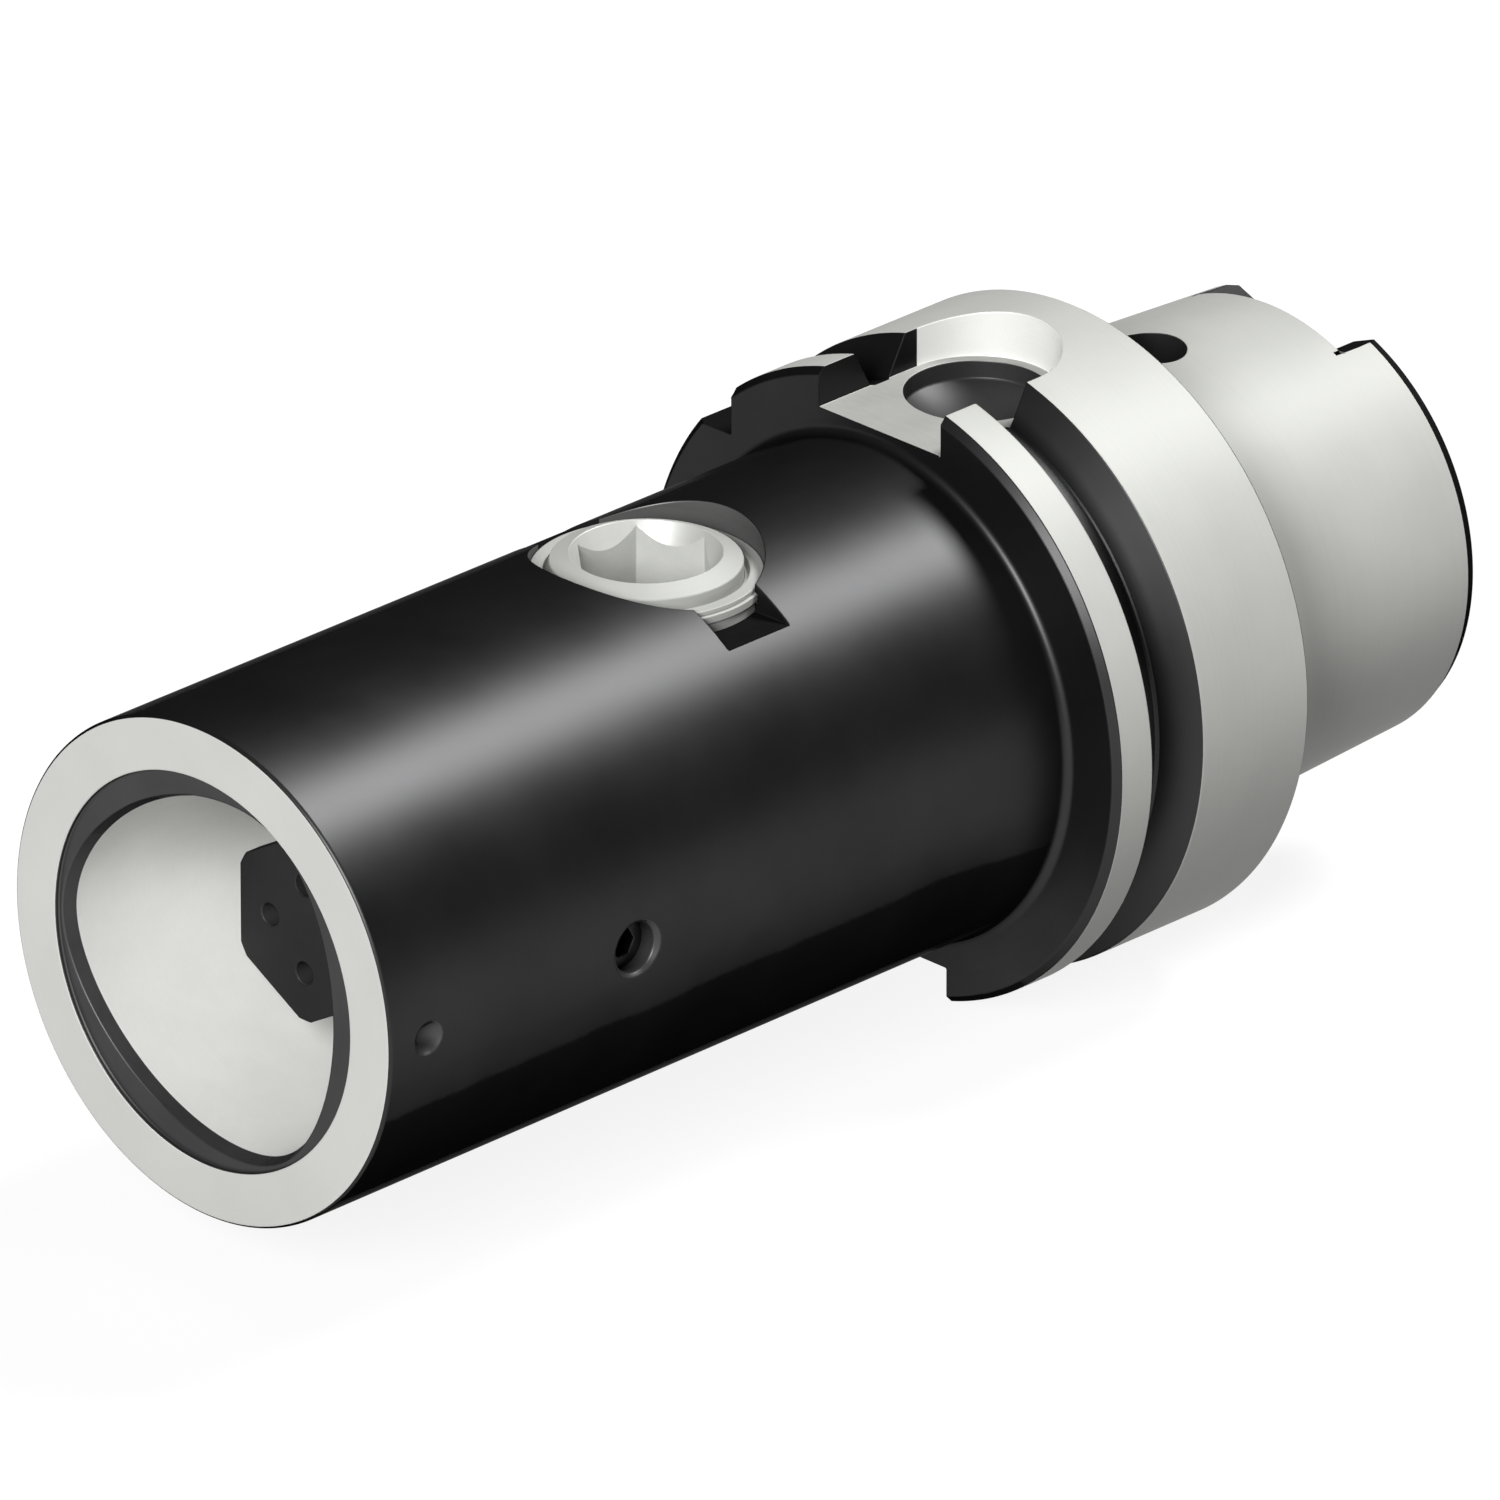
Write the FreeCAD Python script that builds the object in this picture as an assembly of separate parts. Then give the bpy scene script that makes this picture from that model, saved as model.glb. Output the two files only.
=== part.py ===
import FreeCAD, Part
import math
import os

# Quick change tool adapter: a hollow taper shank for the machine spindle carries a long round nose,
# and a three-lobed polygon socket in the nose takes the cutting tool. Turning the cam shaft pulls
# the draw bar back, and its cone spreads six hooked segments inside the tool's shank.
#
# Frame: X along the tool axis, positive towards the hollow taper, Z up through the cam shaft.
# The origin is the middle of the flange face that meets the spindle. Millimetres.
# A depth is a distance behind the front face of the nose.

Vec = FreeCAD.Vector
AXIS_X = Vec(1, 0, 0)
AXIS_Y = Vec(0, 1, 0)
AXIS_Z = Vec(0, 0, 1)
ORIGIN = Vec(0, 0, 0)

# nose
nose_length = 115.0
nose_radius = 25.0
nose_chamfer = 0.27
nose_fillet = 1.0

# flange
flange_radius = 31.5
flange_width = 26.0
flange_front_chamfer = 0.7
flange_rear_chamfer = 0.45
groove_offset = 17.85          # groove middle to the contact face
groove_width = 6.85
groove_root_radius = 27.6
groove_half_angle = 30.0

# flange slots, along X from the front of the flange, with a round end
slot_floor_height = 26.5
top_slot_width = 16.0
bottom_slot_width = 18.0
slot_end_offset = 4.9          # end of the slots to the contact face
pocket_radius = 7.0            # round pocket in the floor of the top slot
pocket_wall = 1.85
drill_half_angle = 59.0
notch_root_radius = 28.06

# hollow taper shank
shank_length = 32.0
taper_radius = 24.0
taper_gauge = 6.3              # where the taper has that radius
taper_half_ratio = 0.05
shank_end_bevel_length = 0.8
shank_end_bevel_depth = 0.455
relief_radius = 25.3           # undercut in the contact face round the root of the taper
relief_depth = 0.8
shank_mouth_radius = 17.0
shank_mouth_length = 8.92
shank_cavity_radius = 18.6
grip_shoulder_angle = 30.0
shank_cavity_floor = 6.0
access_hole_radius = 3.75
access_hole_offset = 10.2
drive_slot_width = 12.54
drive_slot_depth = 5.2
drive_slot_height = 19.4       # where the bevel beside the slot starts
drive_bevel_width = 3.4
drive_bevel_rise = 1.35

# polygon socket
mouth_radius = 19.6
mouth_depth = 0.5
polygon_diameter = 35.03       # mean diameter where the ground taper starts
polygon_eccentricity = 1.12
polygon_lead_depth = 1.85
polygon_lead_widening = 1.05   # on the mean diameter
polygon_taper = 0.05           # change of the mean diameter per length
polygon_end_depth = 31.0
polygon_points = 48
socket_relief_radius = 18.2
socket_relief_length = 2.5

# clamping segments and the bore that holds them
segment_count = 6
segment_half_angle = 27.0
segment_front_depth = 18.5
segment_hook_length = 3.0
segment_hook_radius = 10.3
segment_radius = 9.9
segment_inner_radius = 6.4
segment_seat_radius = 11.6
segment_lip_radius = 13.2
segment_lip_length = 2.5
segment_play = 0.3
segment_bore_radius = 12.2
segment_seat_length = 3.2      # from the socket's floor to the groove
segment_cone_gap = 0.4
segment_ring_depth = 29.5
segment_ring_section = 1.4

# clamping cone with its hexagon head
cone_face_depth = 13.2
hexagon_flats = 17.0
hexagon_corner_radius = 9.4
hexagon_thickness = 2.0
cone_neck_length = 1.3
cone_radius = 8.4
cone_half_angle = 20.0
stem_radius = 5.8
stem_thread_radius = 5.0
stem_thread_length = 9.0
cone_bore_radius = 3.2
cone_bore_start = 8.8          # behind the face of the hexagon head
spray_hole_radius = 1.1
spray_hole_count = 4
spray_hole_circle = 4.55
spray_hole_angle = 12.0

# draw bar
draw_bar_radius = 10.5
draw_bar_front_gap = 1.5       # behind the groove of the segments
draw_bar_length = 33.7
draw_bar_chamfer = 0.5
draw_bar_seal_inset = 4.2
draw_bore_end_gap = 5.0
running_clearance = 0.05       # on the radius, of every turned fit
overcut = 1.0                  # reach of a cutter past the face that it leaves
seal_section = 1.4
seal_clearance = 0.02          # of a seal, to the bore and to the root of its groove
seal_side_play = 0.05
seal_sides = 6
coolant_channel_radius = 3.5

# cam shaft
cam_setback = 16.75             # behind the front end of the draw bar
cam_throw = 1.25
cam_radius = 6.0
cam_window_play = 0.3
cam_flow_radius = 1.9          # coolant hole across the cam
cam_neck_margin = 0.2          # of the neck over the reach of the cam
cam_neck_play = 0.4
cam_collar_floor = 12.4
cam_collar_radius = 10.4
cam_collar_height = 1.9
cam_collar_play = 0.15
cam_head_radius = 9.15
cam_head_top = 24.1
cam_head_chamfer = 0.45
cam_socket_flats = 12.0
cam_socket_depth = 8.5
cam_socket_mouth_radius = 7.2
cam_socket_chamfer_ratio = 1.67
cam_socket_turn = -7.0         # degrees, of one corner from X
cam_journal_radius = 4.5
cam_journal_end = 17.5
cam_seal_height = 17.2
cam_seal_section = 1.1
cam_journal_seal_height = 14.2
stop_pin_radius = 1.0
stop_pin_circle = 9.3
stop_pin_depth = 4.0
stop_pin_top_play = 0.3
stop_notch_inner_radius = 8.0
cam_turn = 180.0
stop_notch_play = 1.5          # degrees at each end of the turn

# bearing bush, its snap ring and the pocket they sit in
bush_radius = 11.0
bush_top = 22.3
bush_mouth_radius = 9.7
bush_mouth_depth = 0.6
bush_seal_height = 17.2
bush_seal_section = 0.9
snap_ring_height = 20.7
snap_ring_thickness = 0.8
snap_ring_play = 0.05
snap_ring_radius = 11.45
snap_ring_inner_radius = 10.45
snap_ring_gap = 6.0
cross_slot_width = 8.0
cross_slot_floor = 20.0

# side screw and the index dimple
side_screw_depth = 32.1
side_screw_radius = 2.5
side_screw_mouth_radius = 3.0
side_screw_recess = 2.0
side_screw_length = 3.2
side_screw_flats = 2.5
side_screw_socket_depth = 1.6
side_screw_hole_length = 5.6
dimple_depth = 5.0
dimple_radius = 1.75
dimple_rim_radius = 2.05

# coolant tube and its union nut in the root of the shank
nut_radius = 9.0
nut_seat_radius = 8.1
nut_seat_floor = -7.0
nut_seat_length = 4.2
nut_bore_radius = 6.3
nut_proud = 0.5
nut_slot_count = 4
nut_slot_width = 3.0
nut_slot_depth = 2.0
tube_radius = 6.0
tube_waist_radius = 5.8        # inside the nut, under its seal
tube_waist_gap = 0.6           # past the nut's outer end
tube_bore_radius = 4.0
tube_end = 28.6
tube_end_chamfer = 0.6
tube_collar_length = 3.5
tube_collar_play = 0.3
tube_collar_clearance = 0.1
tube_seal_section = 1.1
nut_seal_offset = 4.5          # from the inner end of the nut

# values that follow from those above
front = -nose_length
flange_front = -flange_width
slot_end = -slot_end_offset
shank_end = shank_length
draw_bore_radius = draw_bar_radius + running_clearance
socket_depth = polygon_end_depth + socket_relief_length
segment_groove_depth = socket_depth + segment_seat_length
segment_rear_depth = segment_groove_depth + segment_play + segment_lip_length
segment_groove_end = segment_rear_depth + segment_play
draw_bar_front_depth = segment_groove_end + draw_bar_front_gap
draw_bore_depth = draw_bar_front_depth + draw_bar_length + draw_bore_end_gap
cam_depth = draw_bar_front_depth + cam_setback
cam_x = front + cam_depth
cam_half_height = draw_bar_radius + cam_window_play
cam_neck_radius = cam_radius + cam_throw + cam_neck_margin
cam_bearing_radius = cam_head_radius + running_clearance
bush_bore_radius = bush_radius + running_clearance
nut_length = shank_cavity_floor + nut_proud - nut_seat_floor - nut_seat_length


def at(depth):
    """Place along X of a depth behind the front face."""
    return front + depth


def lathe(profile, angle=360.0):
    """Solid of revolution about the tool axis from (x, radius) corners."""
    corners = [Vec(x, radius, 0) for x, radius in profile]
    face = Part.Face(Part.makePolygon(corners + corners[:1]))
    return face.revolve(ORIGIN, AXIS_X, angle)


def upright(profile):
    """Solid of revolution about the cam shaft axis from (radius, z) corners."""
    corners = [Vec(cam_x + radius, 0, z) for radius, z in profile]
    face = Part.Face(Part.makePolygon(corners + corners[:1]))
    return face.revolve(Vec(cam_x, 0, 0), AXIS_Z, 360.0)


def rod(radius, start, end):
    """Round bar on the tool axis between two places along X."""
    return Part.makeCylinder(radius, end - start, Vec(start, 0, 0), AXIS_X)


def post(radius, bottom, top, x=cam_x, y=0.0):
    """Round bar that stands up between two heights."""
    return Part.makeCylinder(radius, top - bottom, Vec(x, y, bottom), AXIS_Z)


def block(x_start, x_end, y_start, y_end, z_start, z_end):
    """Rectangular block between two corners."""
    corner = Vec(x_start, y_start, z_start)
    return Part.makeBox(x_end - x_start, y_end - y_start, z_end - z_start, corner)


def hexagon(flats, length, base, direction, turn=0.0):
    """Hexagonal prism from a base point, with one corner turned about its axis."""
    corner_radius = flats / math.sqrt(3)
    corners = []
    for k in range(6):
        angle = math.radians(turn + 60 * k)
        corners.append(Vec(corner_radius * math.cos(angle), corner_radius * math.sin(angle), 0))
    prism = Part.Face(Part.makePolygon(corners + corners[:1])).extrude(Vec(0, 0, length))
    prism.Placement = FreeCAD.Placement(base, FreeCAD.Rotation(AXIS_Z, direction))
    return prism


def seal_root(bore_radius, section):
    """Root radius of the groove for a rubber ring that fills a bore."""
    return bore_radius - section - 2 * seal_clearance


def seal_ring(middle, bore_radius, section, axis):
    """Rubber ring in a bore, its round section drawn with a few sides."""
    ring_radius = bore_radius - seal_clearance - section / 2
    corners = []
    for k in range(seal_sides):
        angle = 2 * math.pi * k / seal_sides
        corners.append(Vec(
            ring_radius + section / 2 * math.cos(angle), 0, section / 2 * math.sin(angle)))
    face = Part.Face(Part.makePolygon(corners + corners[:1]))
    ring = face.revolve(ORIGIN, AXIS_Z, 360.0)
    ring.Placement = FreeCAD.Placement(middle, FreeCAD.Rotation(AXIS_Z, axis))
    return ring


def seal_groove(middle, root_radius, rim_radius, section):
    """Corners of a groove for a rubber ring, in the order of its place along the axis."""
    half = section / 2 + seal_side_play
    return [
        (middle - half, rim_radius),
        (middle - half, root_radius),
        (middle + half, root_radius),
        (middle + half, rim_radius),
    ]


def polygon_wire(mean_diameter, x):
    """Three-lobed curve of constant width across the tool axis, one lobe towards +Y."""
    points = []
    for k in range(polygon_points):
        angle = 2 * math.pi * k / polygon_points
        arm = mean_diameter / 2 + polygon_eccentricity * math.cos(3 * angle)
        swing = -3 * polygon_eccentricity * math.sin(3 * angle)
        y = arm * math.cos(angle) - swing * math.sin(angle)
        z = arm * math.sin(angle) + swing * math.cos(angle)
        points.append(Vec(x, y, z))
    curve = Part.BSplineCurve()
    curve.interpolate(Points=points, PeriodicFlag=True)
    return Part.Wire([curve.toShape()])


def polygon_frustum(first_diameter, first_x, last_diameter, last_x):
    """Tapered body between two sizes of the three-lobed curve."""
    wires = [polygon_wire(first_diameter, first_x), polygon_wire(last_diameter, last_x)]
    return Part.makeLoft(wires, True, True)


def socket_cutter():
    """Mouth, lead-in, ground polygon taper, relief and floor of the tool socket."""
    shelf = at(mouth_depth)
    lead_end = at(polygon_lead_depth)
    taper_end = at(polygon_end_depth)
    end_diameter = polygon_diameter - polygon_taper * (polygon_end_depth - polygon_lead_depth)
    mouth = rod(mouth_radius, front, shelf)
    lead = polygon_frustum(polygon_diameter + polygon_lead_widening, shelf, polygon_diameter, lead_end)
    taper = polygon_frustum(polygon_diameter, lead_end, end_diameter, taper_end)
    relief = rod(socket_relief_radius, taper_end, at(socket_depth))
    return [mouth, lead, taper, relief]


def segment_bore_cutter():
    """Bore and groove that hold the rear of the segments, and the bore of the draw bar."""
    groove_radius = segment_lip_radius + segment_play
    return lathe([
        (at(socket_depth), 0),
        (at(socket_depth), segment_bore_radius),
        (at(segment_groove_depth), segment_bore_radius),
        (at(segment_groove_depth), groove_radius),
        (at(segment_groove_end), groove_radius),
        (at(segment_groove_end), draw_bore_radius),
        (at(draw_bore_depth), draw_bore_radius),
        (at(draw_bore_depth), coolant_channel_radius),
        (nut_seat_floor, coolant_channel_radius),
        (nut_seat_floor, 0),
    ])


def shank_cavity_cutter():
    """Hollow of the taper shank with its gripping shoulder, and the seat of the union nut."""
    shoulder_start = shank_end - shank_mouth_length
    rise = shank_cavity_radius - shank_mouth_radius
    shoulder_end = shoulder_start - rise / math.tan(math.radians(grip_shoulder_angle))
    seat_end = nut_seat_floor + nut_seat_length
    nut_hole_radius = nut_radius + running_clearance
    return lathe([
        (nut_seat_floor, 0),
        (nut_seat_floor, nut_seat_radius),
        (seat_end, nut_seat_radius),
        (seat_end, nut_hole_radius),
        (shank_cavity_floor, nut_hole_radius),
        (shank_cavity_floor, shank_cavity_radius),
        (shoulder_end, shank_cavity_radius),
        (shoulder_start, shank_mouth_radius),
        (shank_end, shank_mouth_radius),
        (shank_end, 0),
    ])


def body_profile():
    """Outside of the adapter, turned in one piece."""
    groove_middle = -groove_offset
    half_mouth = groove_width / 2
    slope = math.tan(math.radians(groove_half_angle))
    half_root = half_mouth - (flange_radius - groove_root_radius) * slope
    taper_start_radius = taper_radius + (taper_gauge + relief_depth) * taper_half_ratio
    taper_end_x = shank_end - shank_end_bevel_length
    taper_end_radius = taper_radius - (taper_end_x - taper_gauge) * taper_half_ratio
    arc_start = Vec(flange_front - nose_fillet, nose_radius, 0)
    arc_end = Vec(flange_front, nose_radius + nose_fillet, 0)
    bend = nose_fillet * (1 - math.sqrt(0.5))
    arc_middle = Vec(flange_front - bend, nose_radius + bend, 0)
    before = [
        (front, 0),
        (front, nose_radius - nose_chamfer),
        (front + nose_chamfer, nose_radius),
        (arc_start.x, arc_start.y),
    ]
    after = [
        (arc_end.x, arc_end.y),
        (flange_front, flange_radius - flange_front_chamfer),
        (flange_front + flange_front_chamfer, flange_radius),
        (groove_middle - half_mouth, flange_radius),
        (groove_middle - half_root, groove_root_radius),
        (groove_middle + half_root, groove_root_radius),
        (groove_middle + half_mouth, flange_radius),
        (-flange_rear_chamfer, flange_radius),
        (0, flange_radius - flange_rear_chamfer),
        (0, relief_radius),
        (-relief_depth, relief_radius),
        (-relief_depth, taper_start_radius),
        (taper_end_x, taper_end_radius),
        (shank_end, taper_end_radius - shank_end_bevel_depth),
        (shank_end, 0),
    ]
    edges = list(Part.makePolygon([Vec(x, radius, 0) for x, radius in before]).Edges)
    edges.append(Part.Arc(arc_start, arc_middle, arc_end).toShape())
    edges += Part.makePolygon([Vec(x, radius, 0) for x, radius in after + before[:1]]).Edges
    return Part.Face(Part.Wire(edges))


def flange_slot_cutter(width, side):
    """Slot through the front of the flange with a round end, above (1) or below (-1) the axis."""
    half = width / 2
    end_middle = slot_end - half
    outer = flange_radius + half
    low, high = sorted((side * slot_floor_height, side * outer))
    straight = block(flange_front - half, end_middle, -half, half, low, high)
    return straight.fuse(post(half, low, high, end_middle))


def slot_pocket_cutter():
    """Round pocket with a drilled bottom in the floor of the top slot."""
    middle = slot_end - top_slot_width / 2
    wall_bottom = slot_floor_height - pocket_wall
    point_length = pocket_radius / math.tan(math.radians(drill_half_angle))
    wall = post(pocket_radius, wall_bottom, flange_radius, middle)
    tip = Vec(middle, 0, wall_bottom - point_length)
    return wall.fuse(Part.makeCone(0, pocket_radius, point_length, tip, AXIS_Z))


def flange_notch_cutter():
    """Square index notch across the front rim of the flange, at 45 degrees."""
    root = notch_root_radius * math.sqrt(0.5)
    reach = flange_radius
    return block(flange_front - nose_fillet, -groove_offset, root, root + reach, root, root + reach)


def drive_slot_cutter(side):
    """Key slot in the end of the taper, with a bevel along both edges."""
    half = drive_slot_width / 2
    outer_half = half + drive_bevel_width
    bevel_top = drive_slot_height + drive_bevel_rise
    outer = taper_radius + drive_bevel_width
    outline = [
        (-half, 0),
        (-half, drive_slot_height),
        (-outer_half, bevel_top),
        (-outer_half, outer),
        (outer_half, outer),
        (outer_half, bevel_top),
        (half, drive_slot_height),
        (half, 0),
    ]
    corners = [Vec(shank_end - drive_slot_depth, y, side * z) for y, z in outline]
    face = Part.Face(Part.makePolygon(corners + corners[:1]))
    return face.extrude(Vec(drive_slot_depth + overcut, 0, 0))


def cam_pocket_cutters():
    """Upright bores for the cam shaft, its bush and snap ring, and the cross slot over them."""
    neck_hole_radius = cam_neck_radius + cam_neck_play
    outside = nose_radius + bush_radius
    half_slot = cross_slot_width / 2
    ring_low = snap_ring_height - snap_ring_play
    ring_high = snap_ring_height + snap_ring_thickness + snap_ring_play
    journal_floor = -cam_journal_end - segment_play
    return [
        post(bush_bore_radius, cam_collar_floor, outside),
        post(neck_hole_radius, -cam_half_height - cam_window_play, cam_collar_floor),
        post(cam_journal_radius + running_clearance, journal_floor, 0),
        post(snap_ring_radius + running_clearance, ring_low, ring_high),
        block(cam_x - half_slot, cam_x + half_slot, -outside, outside, cross_slot_floor, outside),
        stop_pin_solid(running_clearance),
    ]


def side_hole_cutter():
    """Threaded hole in the side of the nose, with its countersunk mouth."""
    chamfer = side_screw_mouth_radius - side_screw_radius
    x = at(side_screw_depth)
    hole = Part.makeCylinder(
        side_screw_radius, side_screw_hole_length, Vec(x, -nose_radius, 0), AXIS_Y)
    mouth = Part.makeCone(
        side_screw_mouth_radius + chamfer, side_screw_radius, 2 * chamfer,
        Vec(x, -nose_radius - chamfer, 0), AXIS_Y)
    return hole.fuse(mouth)


def dimple_cutter():
    """Conical index dimple with a small rounded rim, beside the mouth of the socket."""
    x = at(dimple_depth)
    rim = dimple_rim_radius - dimple_radius
    cone = Part.makeCone(
        dimple_radius + rim, 0, dimple_radius + rim, Vec(x, -nose_radius - rim, 0), AXIS_Y)
    edge = Part.makeCone(
        dimple_rim_radius + rim, dimple_radius, rim, Vec(x, -nose_radius - rim / 2, 0), AXIS_Y)
    return cone.fuse(edge)


def adapter_body():
    """Nose, flange and hollow taper in one piece of steel."""
    body = body_profile().revolve(ORIGIN, AXIS_X, 360.0)
    cutters = socket_cutter()
    cutters.append(segment_bore_cutter())
    cutters.append(shank_cavity_cutter())
    cutters += cam_pocket_cutters()
    cutters.append(flange_slot_cutter(top_slot_width, 1))
    cutters.append(flange_slot_cutter(bottom_slot_width, -1))
    cutters.append(slot_pocket_cutter())
    cutters.append(flange_notch_cutter())
    cutters.append(side_hole_cutter())
    cutters.append(dimple_cutter())
    for side in (1, -1):
        cutters.append(drive_slot_cutter(side))
        hole = post(access_hole_radius, 0, taper_radius + access_hole_radius, access_hole_offset)
        if side < 0:
            hole.rotate(ORIGIN, AXIS_X, 180)
        cutters.append(hole)
    return body.cut(cutters)


def clamping_cone():
    """Hexagon-headed cone that spreads the segments, with four coolant holes and a hollow stem."""
    face = at(cone_face_depth)
    head_back = face + hexagon_thickness
    cone_start = head_back + cone_neck_length
    cone_length = (cone_radius - stem_radius) / math.tan(math.radians(cone_half_angle))
    seat = at(draw_bar_front_depth)
    head = hexagon(hexagon_flats, hexagon_thickness, Vec(face, 0, 0), AXIS_X)
    head = head.common(rod(hexagon_corner_radius, face, head_back))
    shape = head.fuse(lathe([
        (head_back, 0),
        (head_back, cone_radius),
        (cone_start, cone_radius),
        (cone_start + cone_length, stem_radius),
        (seat, stem_radius),
        (seat, stem_thread_radius),
        (seat + stem_thread_length, stem_thread_radius),
        (seat + stem_thread_length, 0),
    ]))
    bore = rod(cone_bore_radius, face + cone_bore_start, seat + stem_thread_length)
    return shape.cut([bore] + spray_hole_cutters(face))


def spray_hole_cutters(face):
    """Coolant holes from the face of the head, leaning in to meet the central bore."""
    lean = math.radians(spray_hole_angle)
    margin = spray_hole_radius
    length = (cone_bore_start + 2 * margin) / math.cos(lean)
    start_radius = spray_hole_circle + margin * math.tan(lean)
    holes = []
    for k in range(spray_hole_count):
        hole = Part.makeCylinder(
            spray_hole_radius, length, Vec(face - margin, start_radius, 0),
            Vec(math.cos(lean), -math.sin(lean), 0))
        hole.rotate(ORIGIN, AXIS_X, 360 * k / spray_hole_count)
        holes.append(hole)
    return holes


def segment_profile():
    """Half section of a segment: front hook, ring groove, body and rear lip."""
    slope = math.tan(math.radians(cone_half_angle))
    cone_start = cone_face_depth + hexagon_thickness + cone_neck_length
    mouth_radius_inside = cone_radius - (segment_front_depth - cone_start) * slope + segment_cone_gap
    mouth_end = segment_front_depth + (mouth_radius_inside - segment_inner_radius) / slope
    hook_end = segment_front_depth + segment_hook_length
    groove_radius = seal_root(segment_radius, segment_ring_section)
    groove = seal_groove(segment_ring_depth, groove_radius, segment_radius, segment_ring_section)
    seat_start = socket_depth + segment_play
    lip_start = segment_groove_depth + segment_play
    outline = [
        (segment_front_depth, mouth_radius_inside),
        (segment_front_depth, segment_hook_radius),
        (hook_end, segment_hook_radius),
        (hook_end, segment_radius),
    ] + groove + [
        (seat_start, segment_radius),
        (seat_start, segment_seat_radius),
        (lip_start, segment_seat_radius),
        (lip_start, segment_lip_radius),
        (segment_rear_depth, segment_lip_radius),
        (segment_rear_depth, segment_inner_radius),
        (mouth_end, segment_inner_radius),
    ]
    return [(at(depth), radius) for depth, radius in outline]


def clamping_segment(index):
    """One hooked segment, a sector of the turned ring."""
    segment = lathe(segment_profile(), 2 * segment_half_angle)
    segment.rotate(ORIGIN, AXIS_X, 360 * index / segment_count - segment_half_angle)
    return segment


def segment_ring():
    """Rubber ring that holds the segments together."""
    middle = Vec(at(segment_ring_depth), 0, 0)
    return seal_ring(middle, segment_radius, segment_ring_section, AXIS_X)


def draw_bar():
    """Bar that the cam pushes to and fro, with a window for the cam and two seal grooves."""
    start = at(draw_bar_front_depth)
    end = start + draw_bar_length
    groove_radius = seal_root(draw_bore_radius, seal_section)
    outline = [(start, 0), (start, draw_bar_radius - draw_bar_chamfer)]
    outline.append((start + draw_bar_chamfer, draw_bar_radius))
    for middle in draw_bar_seal_places():
        outline += seal_groove(middle, groove_radius, draw_bar_radius, seal_section)
    outline.append((end - draw_bar_chamfer, draw_bar_radius))
    outline += [(end, draw_bar_radius - draw_bar_chamfer), (end, 0)]
    thread = rod(stem_thread_radius + running_clearance, start, start + stem_thread_length)
    bore = rod(cone_bore_radius, start, end)
    half_x = cam_radius + cam_window_play
    half_y = cam_radius + cam_throw + cam_window_play
    middle = cam_x - cam_throw
    window = block(middle - half_x, middle + half_x, -(half_y - half_x), half_y - half_x,
                   -draw_bar_radius, draw_bar_radius)
    rounds = [
        post(half_x, -draw_bar_radius, draw_bar_radius, middle, side * (half_y - half_x))
        for side in (-1, 1)
    ]
    return lathe(outline).cut([thread, bore, window] + rounds)


def draw_bar_seal_places():
    """Places along X of the two seals of the draw bar."""
    start = at(draw_bar_front_depth)
    end = start + draw_bar_length
    return (start + draw_bar_seal_inset, end - draw_bar_seal_inset)


def draw_bar_seal(place):
    """Rubber ring in a groove of the draw bar."""
    return seal_ring(Vec(place, 0, 0), draw_bore_radius, seal_section, AXIS_X)


def cam_shaft():
    """Shaft with a hexagon socket in its head, a stop collar, an offset cam and a lower journal."""
    collar_bottom = cam_collar_floor + cam_collar_play
    collar_top = collar_bottom + cam_collar_height
    seal_radius = seal_root(cam_bearing_radius, cam_seal_section)
    head_groove = seal_groove(cam_seal_height, seal_radius, cam_head_radius, cam_seal_section)
    body = upright([
        (0, cam_half_height),
        (cam_neck_radius, cam_half_height),
        (cam_neck_radius, collar_bottom),
        (cam_collar_radius, collar_bottom),
        (cam_collar_radius, collar_top),
        (cam_head_radius, collar_top),
    ] + swapped(head_groove) + [
        (cam_head_radius, cam_head_top - cam_head_chamfer),
        (cam_head_radius - cam_head_chamfer, cam_head_top),
        (0, cam_head_top),
    ])
    lobe = post(cam_radius, -cam_half_height, cam_half_height, cam_x - cam_throw)
    journal_root = seal_root(cam_journal_radius + running_clearance, cam_seal_section)
    journal_groove = seal_groove(
        -cam_journal_seal_height, journal_root, cam_journal_radius, cam_seal_section)
    journal = upright([
        (0, -cam_journal_end),
        (cam_journal_radius, -cam_journal_end),
    ] + swapped(journal_groove) + [
        (cam_journal_radius, -cam_half_height),
        (0, -cam_half_height),
    ])
    flow = rod(cam_flow_radius, cam_x - cam_radius - 2 * cam_throw, cam_x + cam_radius)
    shape = body.fuse([lobe, journal])
    return shape.cut(cam_socket_cutters() + [stop_notch_cutter(), flow])


def swapped(corners):
    """The same corners with their two values the other way round."""
    return [(second, first) for first, second in corners]


def cam_socket_cutters():
    """Hexagon socket of the cam shaft with its countersunk mouth."""
    base = Vec(cam_x, 0, cam_head_top - cam_socket_depth)
    socket = hexagon(cam_socket_flats, cam_socket_depth, base, AXIS_Z, cam_socket_turn)
    cone_height = cam_socket_mouth_radius * cam_socket_chamfer_ratio
    mouth = Part.makeCone(
        0, cam_socket_mouth_radius, cone_height, Vec(cam_x, 0, cam_head_top - cone_height), AXIS_Z)
    wall_radius = cam_socket_flats / 2
    mouth_floor = cam_head_top - (cam_socket_mouth_radius - wall_radius) * cam_socket_chamfer_ratio
    mouth = mouth.common(post(cam_socket_mouth_radius, mouth_floor, cam_head_top))
    return [socket, mouth]


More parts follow.
